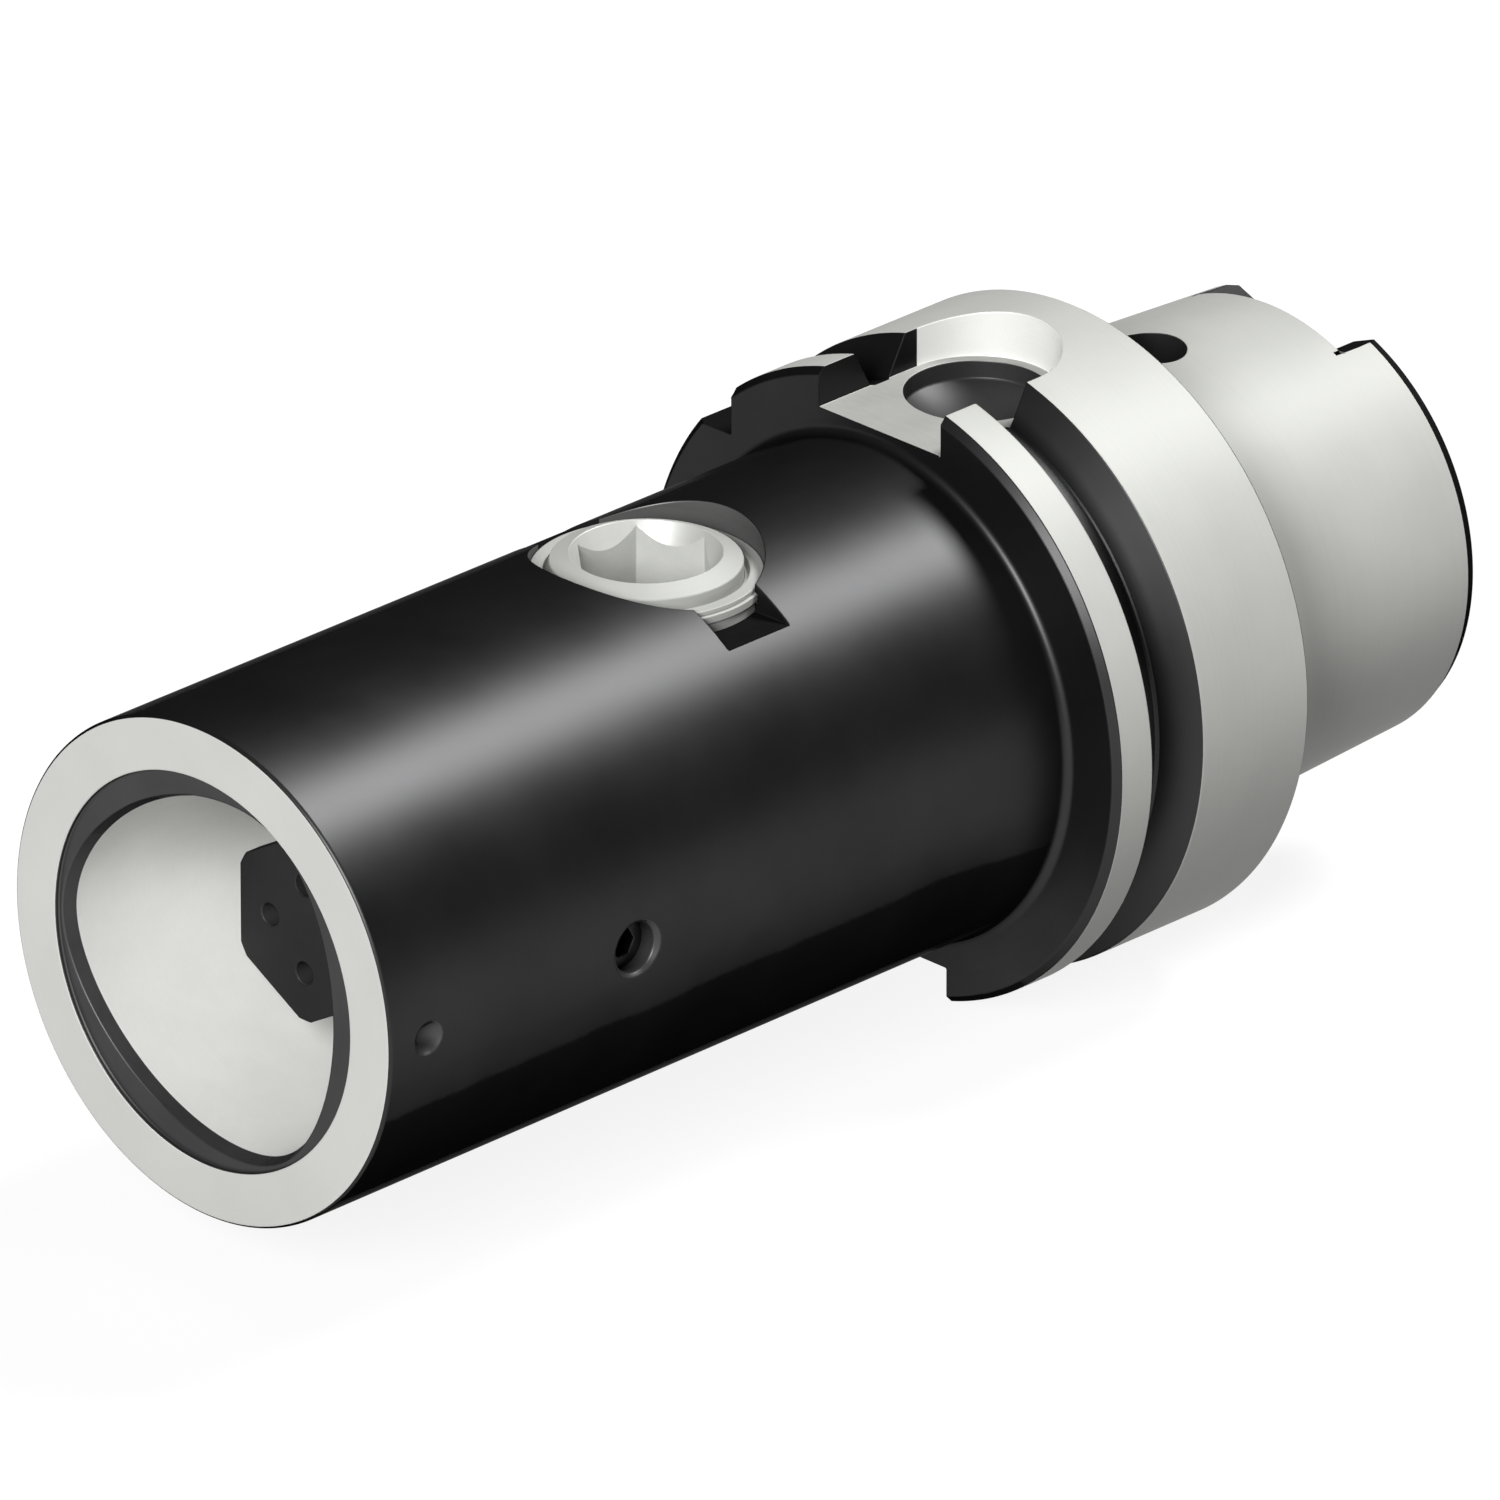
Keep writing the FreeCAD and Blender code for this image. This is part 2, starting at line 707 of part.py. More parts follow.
def stop_notch_cutter():
    """Arc cut from the collar, in which the stop pin limits the turn."""
    pin_half_angle = math.degrees(math.asin(stop_pin_radius / stop_pin_circle)) + stop_notch_play
    sweep = cam_turn + 2 * pin_half_angle
    low = cam_collar_floor
    high = cam_collar_floor + cam_collar_play + cam_collar_height
    corners = [
        Vec(cam_x + stop_notch_inner_radius, 0, low),
        Vec(cam_x + cam_collar_radius + overcut, 0, low),
        Vec(cam_x + cam_collar_radius + overcut, 0, high),
        Vec(cam_x + stop_notch_inner_radius, 0, high),
    ]
    face = Part.Face(Part.makePolygon(corners + corners[:1]))
    notch = face.revolve(Vec(cam_x, 0, 0), AXIS_Z, sweep)
    notch.rotate(Vec(cam_x, 0, 0), AXIS_Z, 90 + pin_half_angle - sweep)
    return notch


def stop_pin_solid(clearance=0.0):
    """Pin beside the cam shaft, upright in the floor of the pocket."""
    top = cam_collar_floor + cam_collar_play + cam_collar_height - stop_pin_top_play
    return post(stop_pin_radius + clearance, cam_collar_floor - stop_pin_depth, top,
                cam_x, stop_pin_circle)


def cam_seal():
    """Rubber ring round the head of the cam shaft."""
    middle = Vec(cam_x, 0, cam_seal_height)
    return seal_ring(middle, cam_bearing_radius, cam_seal_section, AXIS_Z)


def cam_journal_seal():
    """Rubber ring round the lower journal of the cam shaft."""
    middle = Vec(cam_x, 0, -cam_journal_seal_height)
    return seal_ring(middle, cam_journal_radius + running_clearance, cam_seal_section, AXIS_Z)


def cam_bush():
    """Bearing bush that holds the cam shaft down, with grooves for its seal and snap ring."""
    bottom = cam_collar_floor + 2 * cam_collar_play + cam_collar_height
    seal_radius = seal_root(bush_bore_radius, bush_seal_section)
    groove = seal_groove(bush_seal_height, seal_radius, bush_radius, bush_seal_section)
    ring_low = snap_ring_height - snap_ring_play
    ring_high = snap_ring_height + snap_ring_thickness + snap_ring_play
    ring_radius = snap_ring_inner_radius - running_clearance
    return upright([
        (cam_bearing_radius, bottom),
        (bush_radius, bottom),
    ] + swapped(groove) + [
        (bush_radius, ring_low),
        (ring_radius, ring_low),
        (ring_radius, ring_high),
        (bush_radius, ring_high),
        (bush_radius, bush_top),
        (bush_mouth_radius, bush_top),
        (bush_mouth_radius, bush_top - bush_mouth_depth),
        (cam_bearing_radius, bush_top - bush_mouth_depth),
    ])


def bush_seal():
    """Rubber ring round the bearing bush."""
    middle = Vec(cam_x, 0, bush_seal_height)
    return seal_ring(middle, bush_bore_radius, bush_seal_section, AXIS_Z)


def snap_ring():
    """Split ring in the grooves of the pocket and the bush, its gap in the cross slot."""
    top = snap_ring_height + snap_ring_thickness
    ring = post(snap_ring_radius, snap_ring_height, top)
    half_gap = snap_ring_gap / 2
    gap_end = snap_ring_radius + overcut
    gap = block(cam_x - half_gap, cam_x + half_gap, 0, gap_end, snap_ring_height, top)
    return ring.cut([post(snap_ring_inner_radius, snap_ring_height, top), gap])


def side_screw():
    """Headless screw with a hexagon socket in the side hole."""
    x = at(side_screw_depth)
    outer_end = -nose_radius + side_screw_recess
    screw = Part.makeCylinder(
        side_screw_radius - running_clearance, side_screw_length, Vec(x, outer_end, 0), AXIS_Y)
    socket = hexagon(side_screw_flats, side_screw_socket_depth, Vec(x, outer_end, 0), AXIS_Y)
    return screw.cut(socket)


def union_nut():
    """Slotted nut that holds the coolant tube, with a groove for a seal in its bore."""
    start = nut_seat_floor + nut_seat_length
    end = start + nut_length
    groove_radius = tube_waist_radius + tube_seal_section + 2 * seal_clearance
    groove = seal_groove(start + nut_seal_offset, groove_radius, nut_bore_radius, tube_seal_section)
    outline = [
        (start, nut_radius),
        (start, nut_bore_radius),
    ] + groove + [
        (end, nut_bore_radius),
        (end, nut_radius),
    ]
    slots = []
    half = nut_slot_width / 2
    for k in range(nut_slot_count):
        slot = block(end - nut_slot_depth, end, 0, nut_radius + half, -half, half)
        slot.rotate(ORIGIN, AXIS_X, 360 * (k + 0.5) / nut_slot_count)
        slots.append(slot)
    return lathe(outline).cut(slots)


def coolant_tube():
    """Coolant tube with the collar that floats under the union nut."""
    start = nut_seat_floor + tube_collar_play
    collar_end = start + tube_collar_length
    collar_radius = nut_seat_radius - tube_collar_clearance
    waist_end = nut_seat_floor + nut_seat_length + nut_length + tube_waist_gap
    groove_radius = seal_root(nut_seat_radius, tube_seal_section)
    groove = seal_groove(
        (start + collar_end) / 2, groove_radius, collar_radius, tube_seal_section)
    return lathe([
        (start, tube_bore_radius),
        (start, collar_radius),
    ] + groove + [
        (collar_end, collar_radius),
        (collar_end, tube_waist_radius),
        (waist_end, tube_waist_radius),
        (waist_end + tube_radius - tube_waist_radius, tube_radius),
        (tube_end - tube_end_chamfer, tube_radius),
        (tube_end, tube_radius - tube_end_chamfer),
        (tube_end, tube_bore_radius),
    ])


def tube_collar_seal():
    """Rubber ring round the collar of the coolant tube."""
    middle = Vec(nut_seat_floor + tube_collar_play + tube_collar_length / 2, 0, 0)
    return seal_ring(middle, nut_seat_radius, tube_seal_section, AXIS_X)


def union_nut_seal():
    """Rubber ring in the bore of the union nut, round the tube."""
    middle = Vec(nut_seat_floor + nut_seat_length + nut_seal_offset, 0, 0)
    bore_radius = tube_waist_radius + tube_seal_section + 2 * seal_clearance
    return seal_ring(middle, bore_radius, tube_seal_section, AXIS_X)


def main():
    front_seal_place, rear_seal_place = draw_bar_seal_places()
    parts = {
        "adapter_body": adapter_body(),
        "clamping_cone": clamping_cone(),
        "draw_bar": draw_bar(),
        "draw_bar_front_seal": draw_bar_seal(front_seal_place),
        "draw_bar_rear_seal": draw_bar_seal(rear_seal_place),
        "segment_ring": segment_ring(),
        "cam_shaft": cam_shaft(),
        "cam_seal": cam_seal(),
        "cam_journal_seal": cam_journal_seal(),
        "cam_bush": cam_bush(),
        "bush_seal": bush_seal(),
        "snap_ring": snap_ring(),
        "cam_stop_pin": stop_pin_solid(),
        "side_screw": side_screw(),
        "union_nut": union_nut(),
        "coolant_tube": coolant_tube(),
        "tube_collar_seal": tube_collar_seal(),
        "union_nut_seal": union_nut_seal(),
    }
    for index in range(segment_count):
        parts["clamping_segment_%d" % (index + 1)] = clamping_segment(index)
    os.makedirs("parts", exist_ok=True)
    for name, shape in parts.items():
        shape.exportStep("parts/%s.step" % name)
        print(name, len(shape.Solids), round(shape.Volume, 1), shape.isValid())


main()
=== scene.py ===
import math
import bmesh
import bpy
from mathutils import Matrix, Vector


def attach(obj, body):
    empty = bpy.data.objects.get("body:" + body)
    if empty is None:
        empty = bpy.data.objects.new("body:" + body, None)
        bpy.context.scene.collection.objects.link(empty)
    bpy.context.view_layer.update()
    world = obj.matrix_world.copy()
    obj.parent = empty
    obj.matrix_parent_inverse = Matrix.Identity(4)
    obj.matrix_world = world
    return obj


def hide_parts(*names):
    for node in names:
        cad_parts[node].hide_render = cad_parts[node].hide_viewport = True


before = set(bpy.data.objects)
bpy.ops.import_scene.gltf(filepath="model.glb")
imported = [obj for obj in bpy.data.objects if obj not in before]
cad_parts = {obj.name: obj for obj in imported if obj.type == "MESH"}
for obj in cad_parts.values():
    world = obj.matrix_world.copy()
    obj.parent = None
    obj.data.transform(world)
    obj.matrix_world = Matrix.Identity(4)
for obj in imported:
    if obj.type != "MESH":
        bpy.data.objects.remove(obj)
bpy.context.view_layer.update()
print("frame loaded")

# everything is modelled in millimetres and brought to metres when a piece is finished
mm = 0.001
frontX = -115.0            # front face of the nose
shankEnd = 32.0
camX = frontX + 58.05      # cam shaft
alongX = Vector((1, 0, 0))
pieceLook = {"turnSteps": 288, "smoothAngle": 12.0, "edgeBreak": 0.12, "edgeBreakSegments": 2}


# materials

def newMaterial(name):
    mat = bpy.data.materials.new(name)
    mat.use_nodes = True
    tree = mat.node_tree
    shader = tree.nodes["Principled BSDF"]
    return mat, tree, shader


def addNode(tree, kind, **values):
    made = tree.nodes.new(kind)
    for key, value in values.items():
        if key in made.inputs:
            made.inputs[key].default_value = value
        else:
            setattr(made, key, value)
    return made


def link(tree, source, target):
    tree.links.new(source, target)


def turnedCoords(tree):
    # x and the distance from the tool axis, so that marks run round every turned face
    coords = addNode(tree, "ShaderNodeTexCoord")
    split = addNode(tree, "ShaderNodeSeparateXYZ")
    link(tree, coords.outputs["Object"], split.inputs[0])
    flat = addNode(tree, "ShaderNodeCombineXYZ")
    link(tree, split.outputs["Y"], flat.inputs["Y"])
    link(tree, split.outputs["Z"], flat.inputs["Z"])
    radius = addNode(tree, "ShaderNodeVectorMath", operation="LENGTH")
    link(tree, flat.outputs[0], radius.inputs[0])
    joined = addNode(tree, "ShaderNodeCombineXYZ")
    link(tree, split.outputs["X"], joined.inputs["X"])
    link(tree, radius.outputs["Value"], joined.inputs["Y"])
    return joined.outputs[0], coords.outputs["Object"]


def uprightCoords(tree, middleX):
    # height and the distance from an upright axis, for what is turned about the cam shaft
    coords = addNode(tree, "ShaderNodeTexCoord")
    shift = addNode(tree, "ShaderNodeMapping")
    shift.inputs["Location"].default_value = (-middleX * mm, 0, 0)
    link(tree, coords.outputs["Object"], shift.inputs["Vector"])
    split = addNode(tree, "ShaderNodeSeparateXYZ")
    link(tree, shift.outputs[0], split.inputs[0])
    flat = addNode(tree, "ShaderNodeCombineXYZ")
    link(tree, split.outputs["X"], flat.inputs["X"])
    link(tree, split.outputs["Y"], flat.inputs["Y"])
    radius = addNode(tree, "ShaderNodeVectorMath", operation="LENGTH")
    link(tree, flat.outputs[0], radius.inputs[0])
    joined = addNode(tree, "ShaderNodeCombineXYZ")
    link(tree, split.outputs["Z"], joined.inputs["X"])
    link(tree, radius.outputs["Value"], joined.inputs["Y"])
    return joined.outputs[0], coords.outputs["Object"]


def metalFinish(name, look, coordsOf, *args):
    # machining marks as a fine bump, patchy colour and roughness
    mat, tree, shader = newMaterial(name)
    marksAt, objectAt = coordsOf(tree, *args)
    marks = addNode(tree, "ShaderNodeTexNoise", Scale=look["marksPerMetre"], Detail=3.0, Roughness=0.6)
    link(tree, marksAt, marks.inputs["Vector"])
    cloud = addNode(tree, "ShaderNodeTexNoise", Scale=look["cloudPerMetre"], Detail=4.0, Roughness=0.55)
    link(tree, objectAt, cloud.inputs["Vector"])
    grain = addNode(tree, "ShaderNodeTexNoise", Scale=look["grainPerMetre"], Detail=2.0, Roughness=0.5)
    link(tree, objectAt, grain.inputs["Vector"])
    both = addNode(tree, "ShaderNodeMix", data_type="FLOAT")
    both.inputs[0].default_value = look["marksInColour"]
    link(tree, cloud.outputs["Fac"], both.inputs[2])
    link(tree, marks.outputs["Fac"], both.inputs[3])
    tone = addNode(tree, "ShaderNodeValToRGB")
    tone.color_ramp.elements[0].position = 0.3
    tone.color_ramp.elements[1].position = 0.7
    tone.color_ramp.elements[0].color = (*look["darkColour"], 1)
    tone.color_ramp.elements[1].color = (*look["lightColour"], 1)
    link(tree, both.outputs[0], tone.inputs["Fac"])
    link(tree, tone.outputs["Color"], shader.inputs["Base Color"])
    rough = addNode(tree, "ShaderNodeMapRange")
    rough.inputs["From Min"].default_value = 0.3
    rough.inputs["From Max"].default_value = 0.7
    rough.inputs["To Min"].default_value = look["roughness"][0]
    rough.inputs["To Max"].default_value = look["roughness"][1]
    link(tree, both.outputs[0], rough.inputs["Value"])
    link(tree, rough.outputs["Result"], shader.inputs["Roughness"])
    shader.inputs["Metallic"].default_value = look["metallic"]
    shader.inputs["Specular IOR Level"].default_value = look["specular"]
    shader.inputs["Specular Tint"].default_value = (*look.get("edgeTint", (1, 1, 1)), 1)
    marksBump = addNode(tree, "ShaderNodeBump", Strength=look["marksBump"], Distance=0.00002)
    link(tree, marks.outputs["Fac"], marksBump.inputs["Height"])
    grainBump = addNode(tree, "ShaderNodeBump", Strength=look["grainBump"], Distance=0.00002)
    link(tree, grain.outputs["Fac"], grainBump.inputs["Height"])
    link(tree, marksBump.outputs["Normal"], grainBump.inputs["Normal"])
    link(tree, grainBump.outputs["Normal"], shader.inputs["Normal"])
    return mat


blackLook = {
    "darkColour": (0.035, 0.035, 0.0355), "lightColour": (0.045, 0.045, 0.0455),
    "metallic": 0.9, "specular": 0.0, "roughness": (0.37, 0.42), "edgeTint": (0, 0, 0),
    "marksPerMetre": 5200.0, "cloudPerMetre": 90.0, "grainPerMetre": 6000.0,
    "marksInColour": 0.3, "marksBump": 0.12, "grainBump": 0.1,
}
# lighter base colour than the black steel: a painted highlight, so that bores, holes and the socket's
# lead-in show glints
boreHighlightLook = {
    "darkColour": (0.062, 0.062, 0.0625), "lightColour": (0.082, 0.082, 0.0825),
    "metallic": 0.7, "specular": 0.0, "roughness": (0.4, 0.48), "edgeTint": (0, 0, 0),
    "marksPerMetre": 5200.0, "cloudPerMetre": 90.0, "grainPerMetre": 6000.0,
    "marksInColour": 0.3, "marksBump": 0.12, "grainBump": 0.1,
}
# lighter base colour than the black steel: a painted highlight on the cam pocket's wall and ring groove
pocketHighlightLook = {
    "darkColour": (0.1, 0.1, 0.1), "lightColour": (0.13, 0.13, 0.13),
    "metallic": 0.45, "specular": 0.2, "roughness": (0.36, 0.42), "edgeTint": (0.3, 0.3, 0.3),
    "marksPerMetre": 5200.0, "cloudPerMetre": 120.0, "grainPerMetre": 6000.0,
    "marksInColour": 0.35, "marksBump": 0.12, "grainBump": 0.1,
}
turnedLook = {
    "darkColour": (0.43, 0.435, 0.412), "lightColour": (0.5, 0.505, 0.48),
    "metallic": 0.12, "specular": 0.4, "roughness": (0.5, 0.58), "edgeTint": (0.25, 0.25, 0.25),
    "marksPerMetre": 9000.0, "cloudPerMetre": 60.0, "grainPerMetre": 9000.0,
    "marksInColour": 0.35, "marksBump": 0.12, "grainBump": 0.06,
}
groundLook = {
    "darkColour": (0.55, 0.555, 0.53), "lightColour": (0.63, 0.635, 0.61),
    "metallic": 0.2, "specular": 0.3, "roughness": (0.62, 0.7), "edgeTint": (0.25, 0.25, 0.25),
    "marksPerMetre": 9000.0, "cloudPerMetre": 60.0, "grainPerMetre": 9000.0,
    "marksInColour": 0.35, "marksBump": 0.12, "grainBump": 0.06,
}
milledLook = {
    "darkColour": (0.36, 0.364, 0.346), "lightColour": (0.44, 0.444, 0.424),
    "metallic": 0.3, "specular": 0.3, "roughness": (0.6, 0.7), "edgeTint": (0.25, 0.25, 0.25),
    "marksPerMetre": 3000.0, "cloudPerMetre": 120.0, "grainPerMetre": 7000.0,
    "marksInColour": 0.4, "marksBump": 0.2, "grainBump": 0.15,
}
# near-white steel, lighter than the ground steel: a painted highlight on the slot's round end wall and the
# polygon socket's walls
paintedLightLook = {
    "darkColour": (0.82, 0.82, 0.795), "lightColour": (0.92, 0.92, 0.895),
    "metallic": 0.15, "specular": 0.4, "roughness": (0.5, 0.58),
    "marksPerMetre": 7000.0, "cloudPerMetre": 100.0, "grainPerMetre": 9000.0,
    "marksInColour": 0.35, "marksBump": 0.12, "grainBump": 0.06,
}
camLook = {
    "darkColour": (0.41, 0.415, 0.395), "lightColour": (0.48, 0.485, 0.46),
    "metallic": 0.2, "specular": 0.3, "roughness": (0.55, 0.65), "edgeTint": (0.25, 0.25, 0.25),
    "marksPerMetre": 9000.0, "cloudPerMetre": 120.0, "grainPerMetre": 9000.0,
    "marksInColour": 0.35, "marksBump": 0.12, "grainBump": 0.06,
}
# lighter base colour than the cam steel: a painted highlight inside the hexagon socket
hexSocketHighlightLook = {
    "darkColour": (0.5, 0.505, 0.485), "lightColour": (0.58, 0.585, 0.56),
    "metallic": 0.3, "specular": 0.4, "roughness": (0.4, 0.48),
    "marksPerMetre": 7000.0, "cloudPerMetre": 200.0, "grainPerMetre": 9000.0,
    "marksInColour": 0.35, "marksBump": 0.12, "grainBump": 0.06,
}
hardenedLook = {
    "darkColour": (0.2, 0.2, 0.195), "lightColour": (0.3, 0.3, 0.29),
    "metallic": 0.8, "specular": 0.5, "roughness": (0.34, 0.46),
    "marksPerMetre": 5000.0, "cloudPerMetre": 150.0, "grainPerMetre": 8000.0,
    "marksInColour": 0.4, "marksBump": 0.2, "grainBump": 0.12,
}
blackSteel = metalFinish("blackSteel", blackLook, turnedCoords)
boreHighlightBlack = metalFinish("boreHighlightBlack", boreHighlightLook, turnedCoords)
turnedSteel = metalFinish("turnedSteel", turnedLook, turnedCoords)
groundSteel = metalFinish("groundSteel", groundLook, turnedCoords)
milledSteel = metalFinish("milledSteel", milledLook, turnedCoords)
hardenedSteel = metalFinish("hardenedSteel", hardenedLook, turnedCoords)
paintedLightSteel = metalFinish("paintedLightSteel", paintedLightLook, turnedCoords)
camSteel = metalFinish("camSteel", camLook, uprightCoords, camX)
camSocketHighlight = metalFinish("camSocketHighlight", hexSocketHighlightLook, uprightCoords, camX)
pocketHighlightBlack = metalFinish("pocketHighlightBlack", pocketHighlightLook, uprightCoords, camX)

rubberLook = {
    "darkColour": (0.012, 0.012, 0.013), "lightColour": (0.022, 0.022, 0.023),
    "metallic": 0.0, "specular": 0.35, "roughness": (0.5, 0.65),
    "marksPerMetre": 2500.0, "cloudPerMetre": 400.0, "grainPerMetre": 9000.0,
    "marksInColour": 0.2, "marksBump": 0.05, "grainBump": 0.3,
}
sealRubber = metalFinish("sealRubber", rubberLook, turnedCoords)
bodyMats = [blackSteel, groundSteel, milledSteel, pocketHighlightBlack, hardenedSteel, paintedLightSteel,
            boreHighlightBlack, turnedSteel]
# bore, pocket and bright are lighter copies of the black and ground steels: painted highlights
black, ground, milled, pocket, inside, bright, bore, lathed = range(8)
print("materials made")


# modelling helpers

def turned(profile, steps=pieceLook["turnSteps"], angle=360.0, start=0.0, closed=True):
    # corners are (x, radius, edge break) and the solid is spun about the tool axis
    bm = bmesh.new()
    verts = [bm.verts.new((row[0], row[1], 0)) for row in profile]
    for first, second in zip(verts, verts[1:]):
        bm.edges.new((first, second))
    if closed:
        bm.edges.new((verts[-1], verts[0]))
    for vert, row in zip(verts, profile):
        if len(row) > 2 and row[2]:
            segments = row[3] if len(row) > 3 else 2
            bmesh.ops.bevel(bm, geom=[vert], offset=row[2], segments=segments, profile=0.5,
                            affect="VERTICES", offset_type="OFFSET", material=-1)
    full = abs(angle) >= 360
    if not full:
        bmesh.ops.edgenet_fill(bm, edges=bm.edges[:])
        bmesh.ops.rotate(bm, cent=(0, 0, 0), matrix=Matrix.Rotation(math.radians(start), 3, "X"),
                         verts=bm.verts[:])
        geom = bm.verts[:] + bm.edges[:] + bm.faces[:]
    else:
        geom = bm.verts[:] + bm.edges[:]
    bmesh.ops.spin(bm, geom=geom, cent=(0, 0, 0), axis=(1, 0, 0), dvec=(0, 0, 0),
                   angle=math.radians(angle), steps=steps, use_merge=full, use_duplicate=False)
    bmesh.ops.remove_doubles(bm, verts=bm.verts[:], dist=0.0005)
    bmesh.ops.recalc_face_normals(bm, faces=bm.faces[:])
    return bm


def stoodUp(bm, middleX):
    # turns what was spun about the tool axis so that it stands about the cam shaft's axis
    stand = Matrix.Translation((middleX, 0, 0)) @ Matrix.Rotation(math.radians(-90), 4, "Y")
    bmesh.ops.transform(bm, matrix=stand, verts=bm.verts[:])
    return bm


def roundBar(radius, start, end, direction, at=(0, 0, 0), segments=96, endRadius=None):
    # cylinder or cone along a direction, from one distance to another
    bm = bmesh.new()
    turn = Vector((0, 0, 1)).rotation_difference(Vector(direction)).to_matrix().to_4x4()
    place = Matrix.Translation(at) @ turn @ Matrix.Translation((0, 0, (start + end) / 2))
    bmesh.ops.create_cone(bm, cap_ends=True, segments=segments, radius1=radius,
                          radius2=radius if endRadius is None else endRadius,
                          depth=end - start, matrix=place)
    return bm


def blockBetween(low, high):
    bm = bmesh.new()
    size = [b - a for a, b in zip(low, high)]
    middle = [(a + b) / 2 for a, b in zip(low, high)]
    bmesh.ops.create_cube(bm, size=1.0, matrix=Matrix.Translation(middle) @ Matrix.Diagonal((*size, 1)))
    return bm


def hexPrism(flats, start, end, direction, at=(0, 0, 0), turn=0.0):
    bm = bmesh.new()
    aim = Vector((0, 0, 1)).rotation_difference(Vector(direction)).to_matrix().to_4x4()
    place = Matrix.Translation(at) @ aim @ Matrix.Rotation(math.radians(turn + 30), 4, "Z")
    place = place @ Matrix.Translation((0, 0, (start + end) / 2))
    radius = flats / math.sqrt(3)
    bmesh.ops.create_cone(bm, cap_ends=True, segments=6, radius1=radius, radius2=radius,
                          depth=end - start, matrix=place)
    return bm


def solidObject(name, bm, mats, finish=None):
    for face in bm.faces:
        if finish is not None:
            face.material_index = finish
    mesh = bpy.data.meshes.new(name)
    bm.to_mesh(mesh)
    bm.free()
    for mat in mats:
        mesh.materials.append(mat)
    made = bpy.data.objects.new(name, mesh)
    bpy.context.scene.collection.objects.link(made)
    return made


def cutAway(target, cutters, operation="DIFFERENCE"):
    # each cutter leaves its own finish on the faces that it makes
    for bm, finish in cutters:
        tool = solidObject("cutter", bm, list(target.data.materials), finish)
        cut = target.modifiers.new("cut", "BOOLEAN")
        cut.operation = operation
        cut.solver = "EXACT"
        cut.object = tool
        graph = bpy.context.evaluated_depsgraph_get()
        mesh = bpy.data.meshes.new_from_object(target.evaluated_get(graph))
        target.modifiers.clear()
        old = target.data
        target.data = mesh
        bpy.data.meshes.remove(old)
        spent = tool.data
        bpy.data.objects.remove(tool)
        bpy.data.meshes.remove(spent)
    return target


def finishPiece(piece, body, nodes, width=pieceLook["edgeBreak"], bevelFrom=40.0):
    # small edge breaks on the cut edges, smooth shading, metres, and the body that it rides on
    bm = bmesh.new()
    bm.from_mesh(piece.data)
    bmesh.ops.remove_doubles(bm, verts=bm.verts[:], dist=0.0008)
    bmesh.ops.dissolve_degenerate(bm, dist=0.0008, edges=bm.edges[:])
    bm.to_mesh(piece.data)
    bm.free()
    piece.data.name = piece.name
    if width:
        soften = piece.modifiers.new("edge breaks", "BEVEL")
        soften.width = width
        soften.segments = pieceLook["edgeBreakSegments"]
        soften.limit_method = "ANGLE"
        soften.angle_limit = math.radians(bevelFrom)
        soften.use_clamp_overlap = False
        soften.miter_outer = "MITER_ARC"
        graph = bpy.context.evaluated_depsgraph_get()
        mesh = bpy.data.meshes.new_from_object(piece.evaluated_get(graph))
        piece.modifiers.clear()
        piece.data = mesh
    piece.data.shade_smooth()
    piece.data.set_sharp_from_angle(angle=math.radians(pieceLook["smoothAngle"]))
    piece.data.transform(Matrix.Scale(mm, 4))
    piece.data.update()
    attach(piece, body)
    if nodes:
        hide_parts(*nodes)
    return piece


# adapter body

bodyLook = {
    "noseRadius": 25.0, "noseChamfer": 0.27, "noseFillet": 1.0,
    "flangeRadius": 31.5, "flangeFront": -26.0,
    "grooveMiddle": -17.85, "grooveWidth": 6.85, "grooveRoot": 27.6,
    "slotFloor": 26.5, "topSlotWidth": 16.0, "bottomSlotWidth": 18.0, "slotEnd": -4.9,
    "mouthRadius": 19.6, "mouthDepth": 0.5,
    "polygonDiameter": 35.03, "polygonLobe": 1.12, "leadDepth": 1.85, "leadWidening": 1.05,
    "socketEnd": 31.0, "polygonTaper": 0.05,
    "taperStartRadius": 24.355,
}


# from the shank's end to the floor of the tool socket; the polygon is cut out of the pilot bore
hollowLook = {
    "openingRadius": 17.0, "openingStart": 23.08, "grippedRadius": 18.6, "grippedEnd": 20.31,
    "shankFloor": 6.0, "nutRadius": 9.05, "nutFloor": -2.8, "collarRadius": 8.1, "collarFloor": -7.0,
    "channelRadius": 3.5, "barEnd": -35.0, "barRadius": 10.55, "lipRadius": 13.5, "lipEnd": -75.2,
    "lipStart": -78.3, "segmentRadius": 12.2, "socketFloor": -81.5, "pilotRadius": 15.5,
}


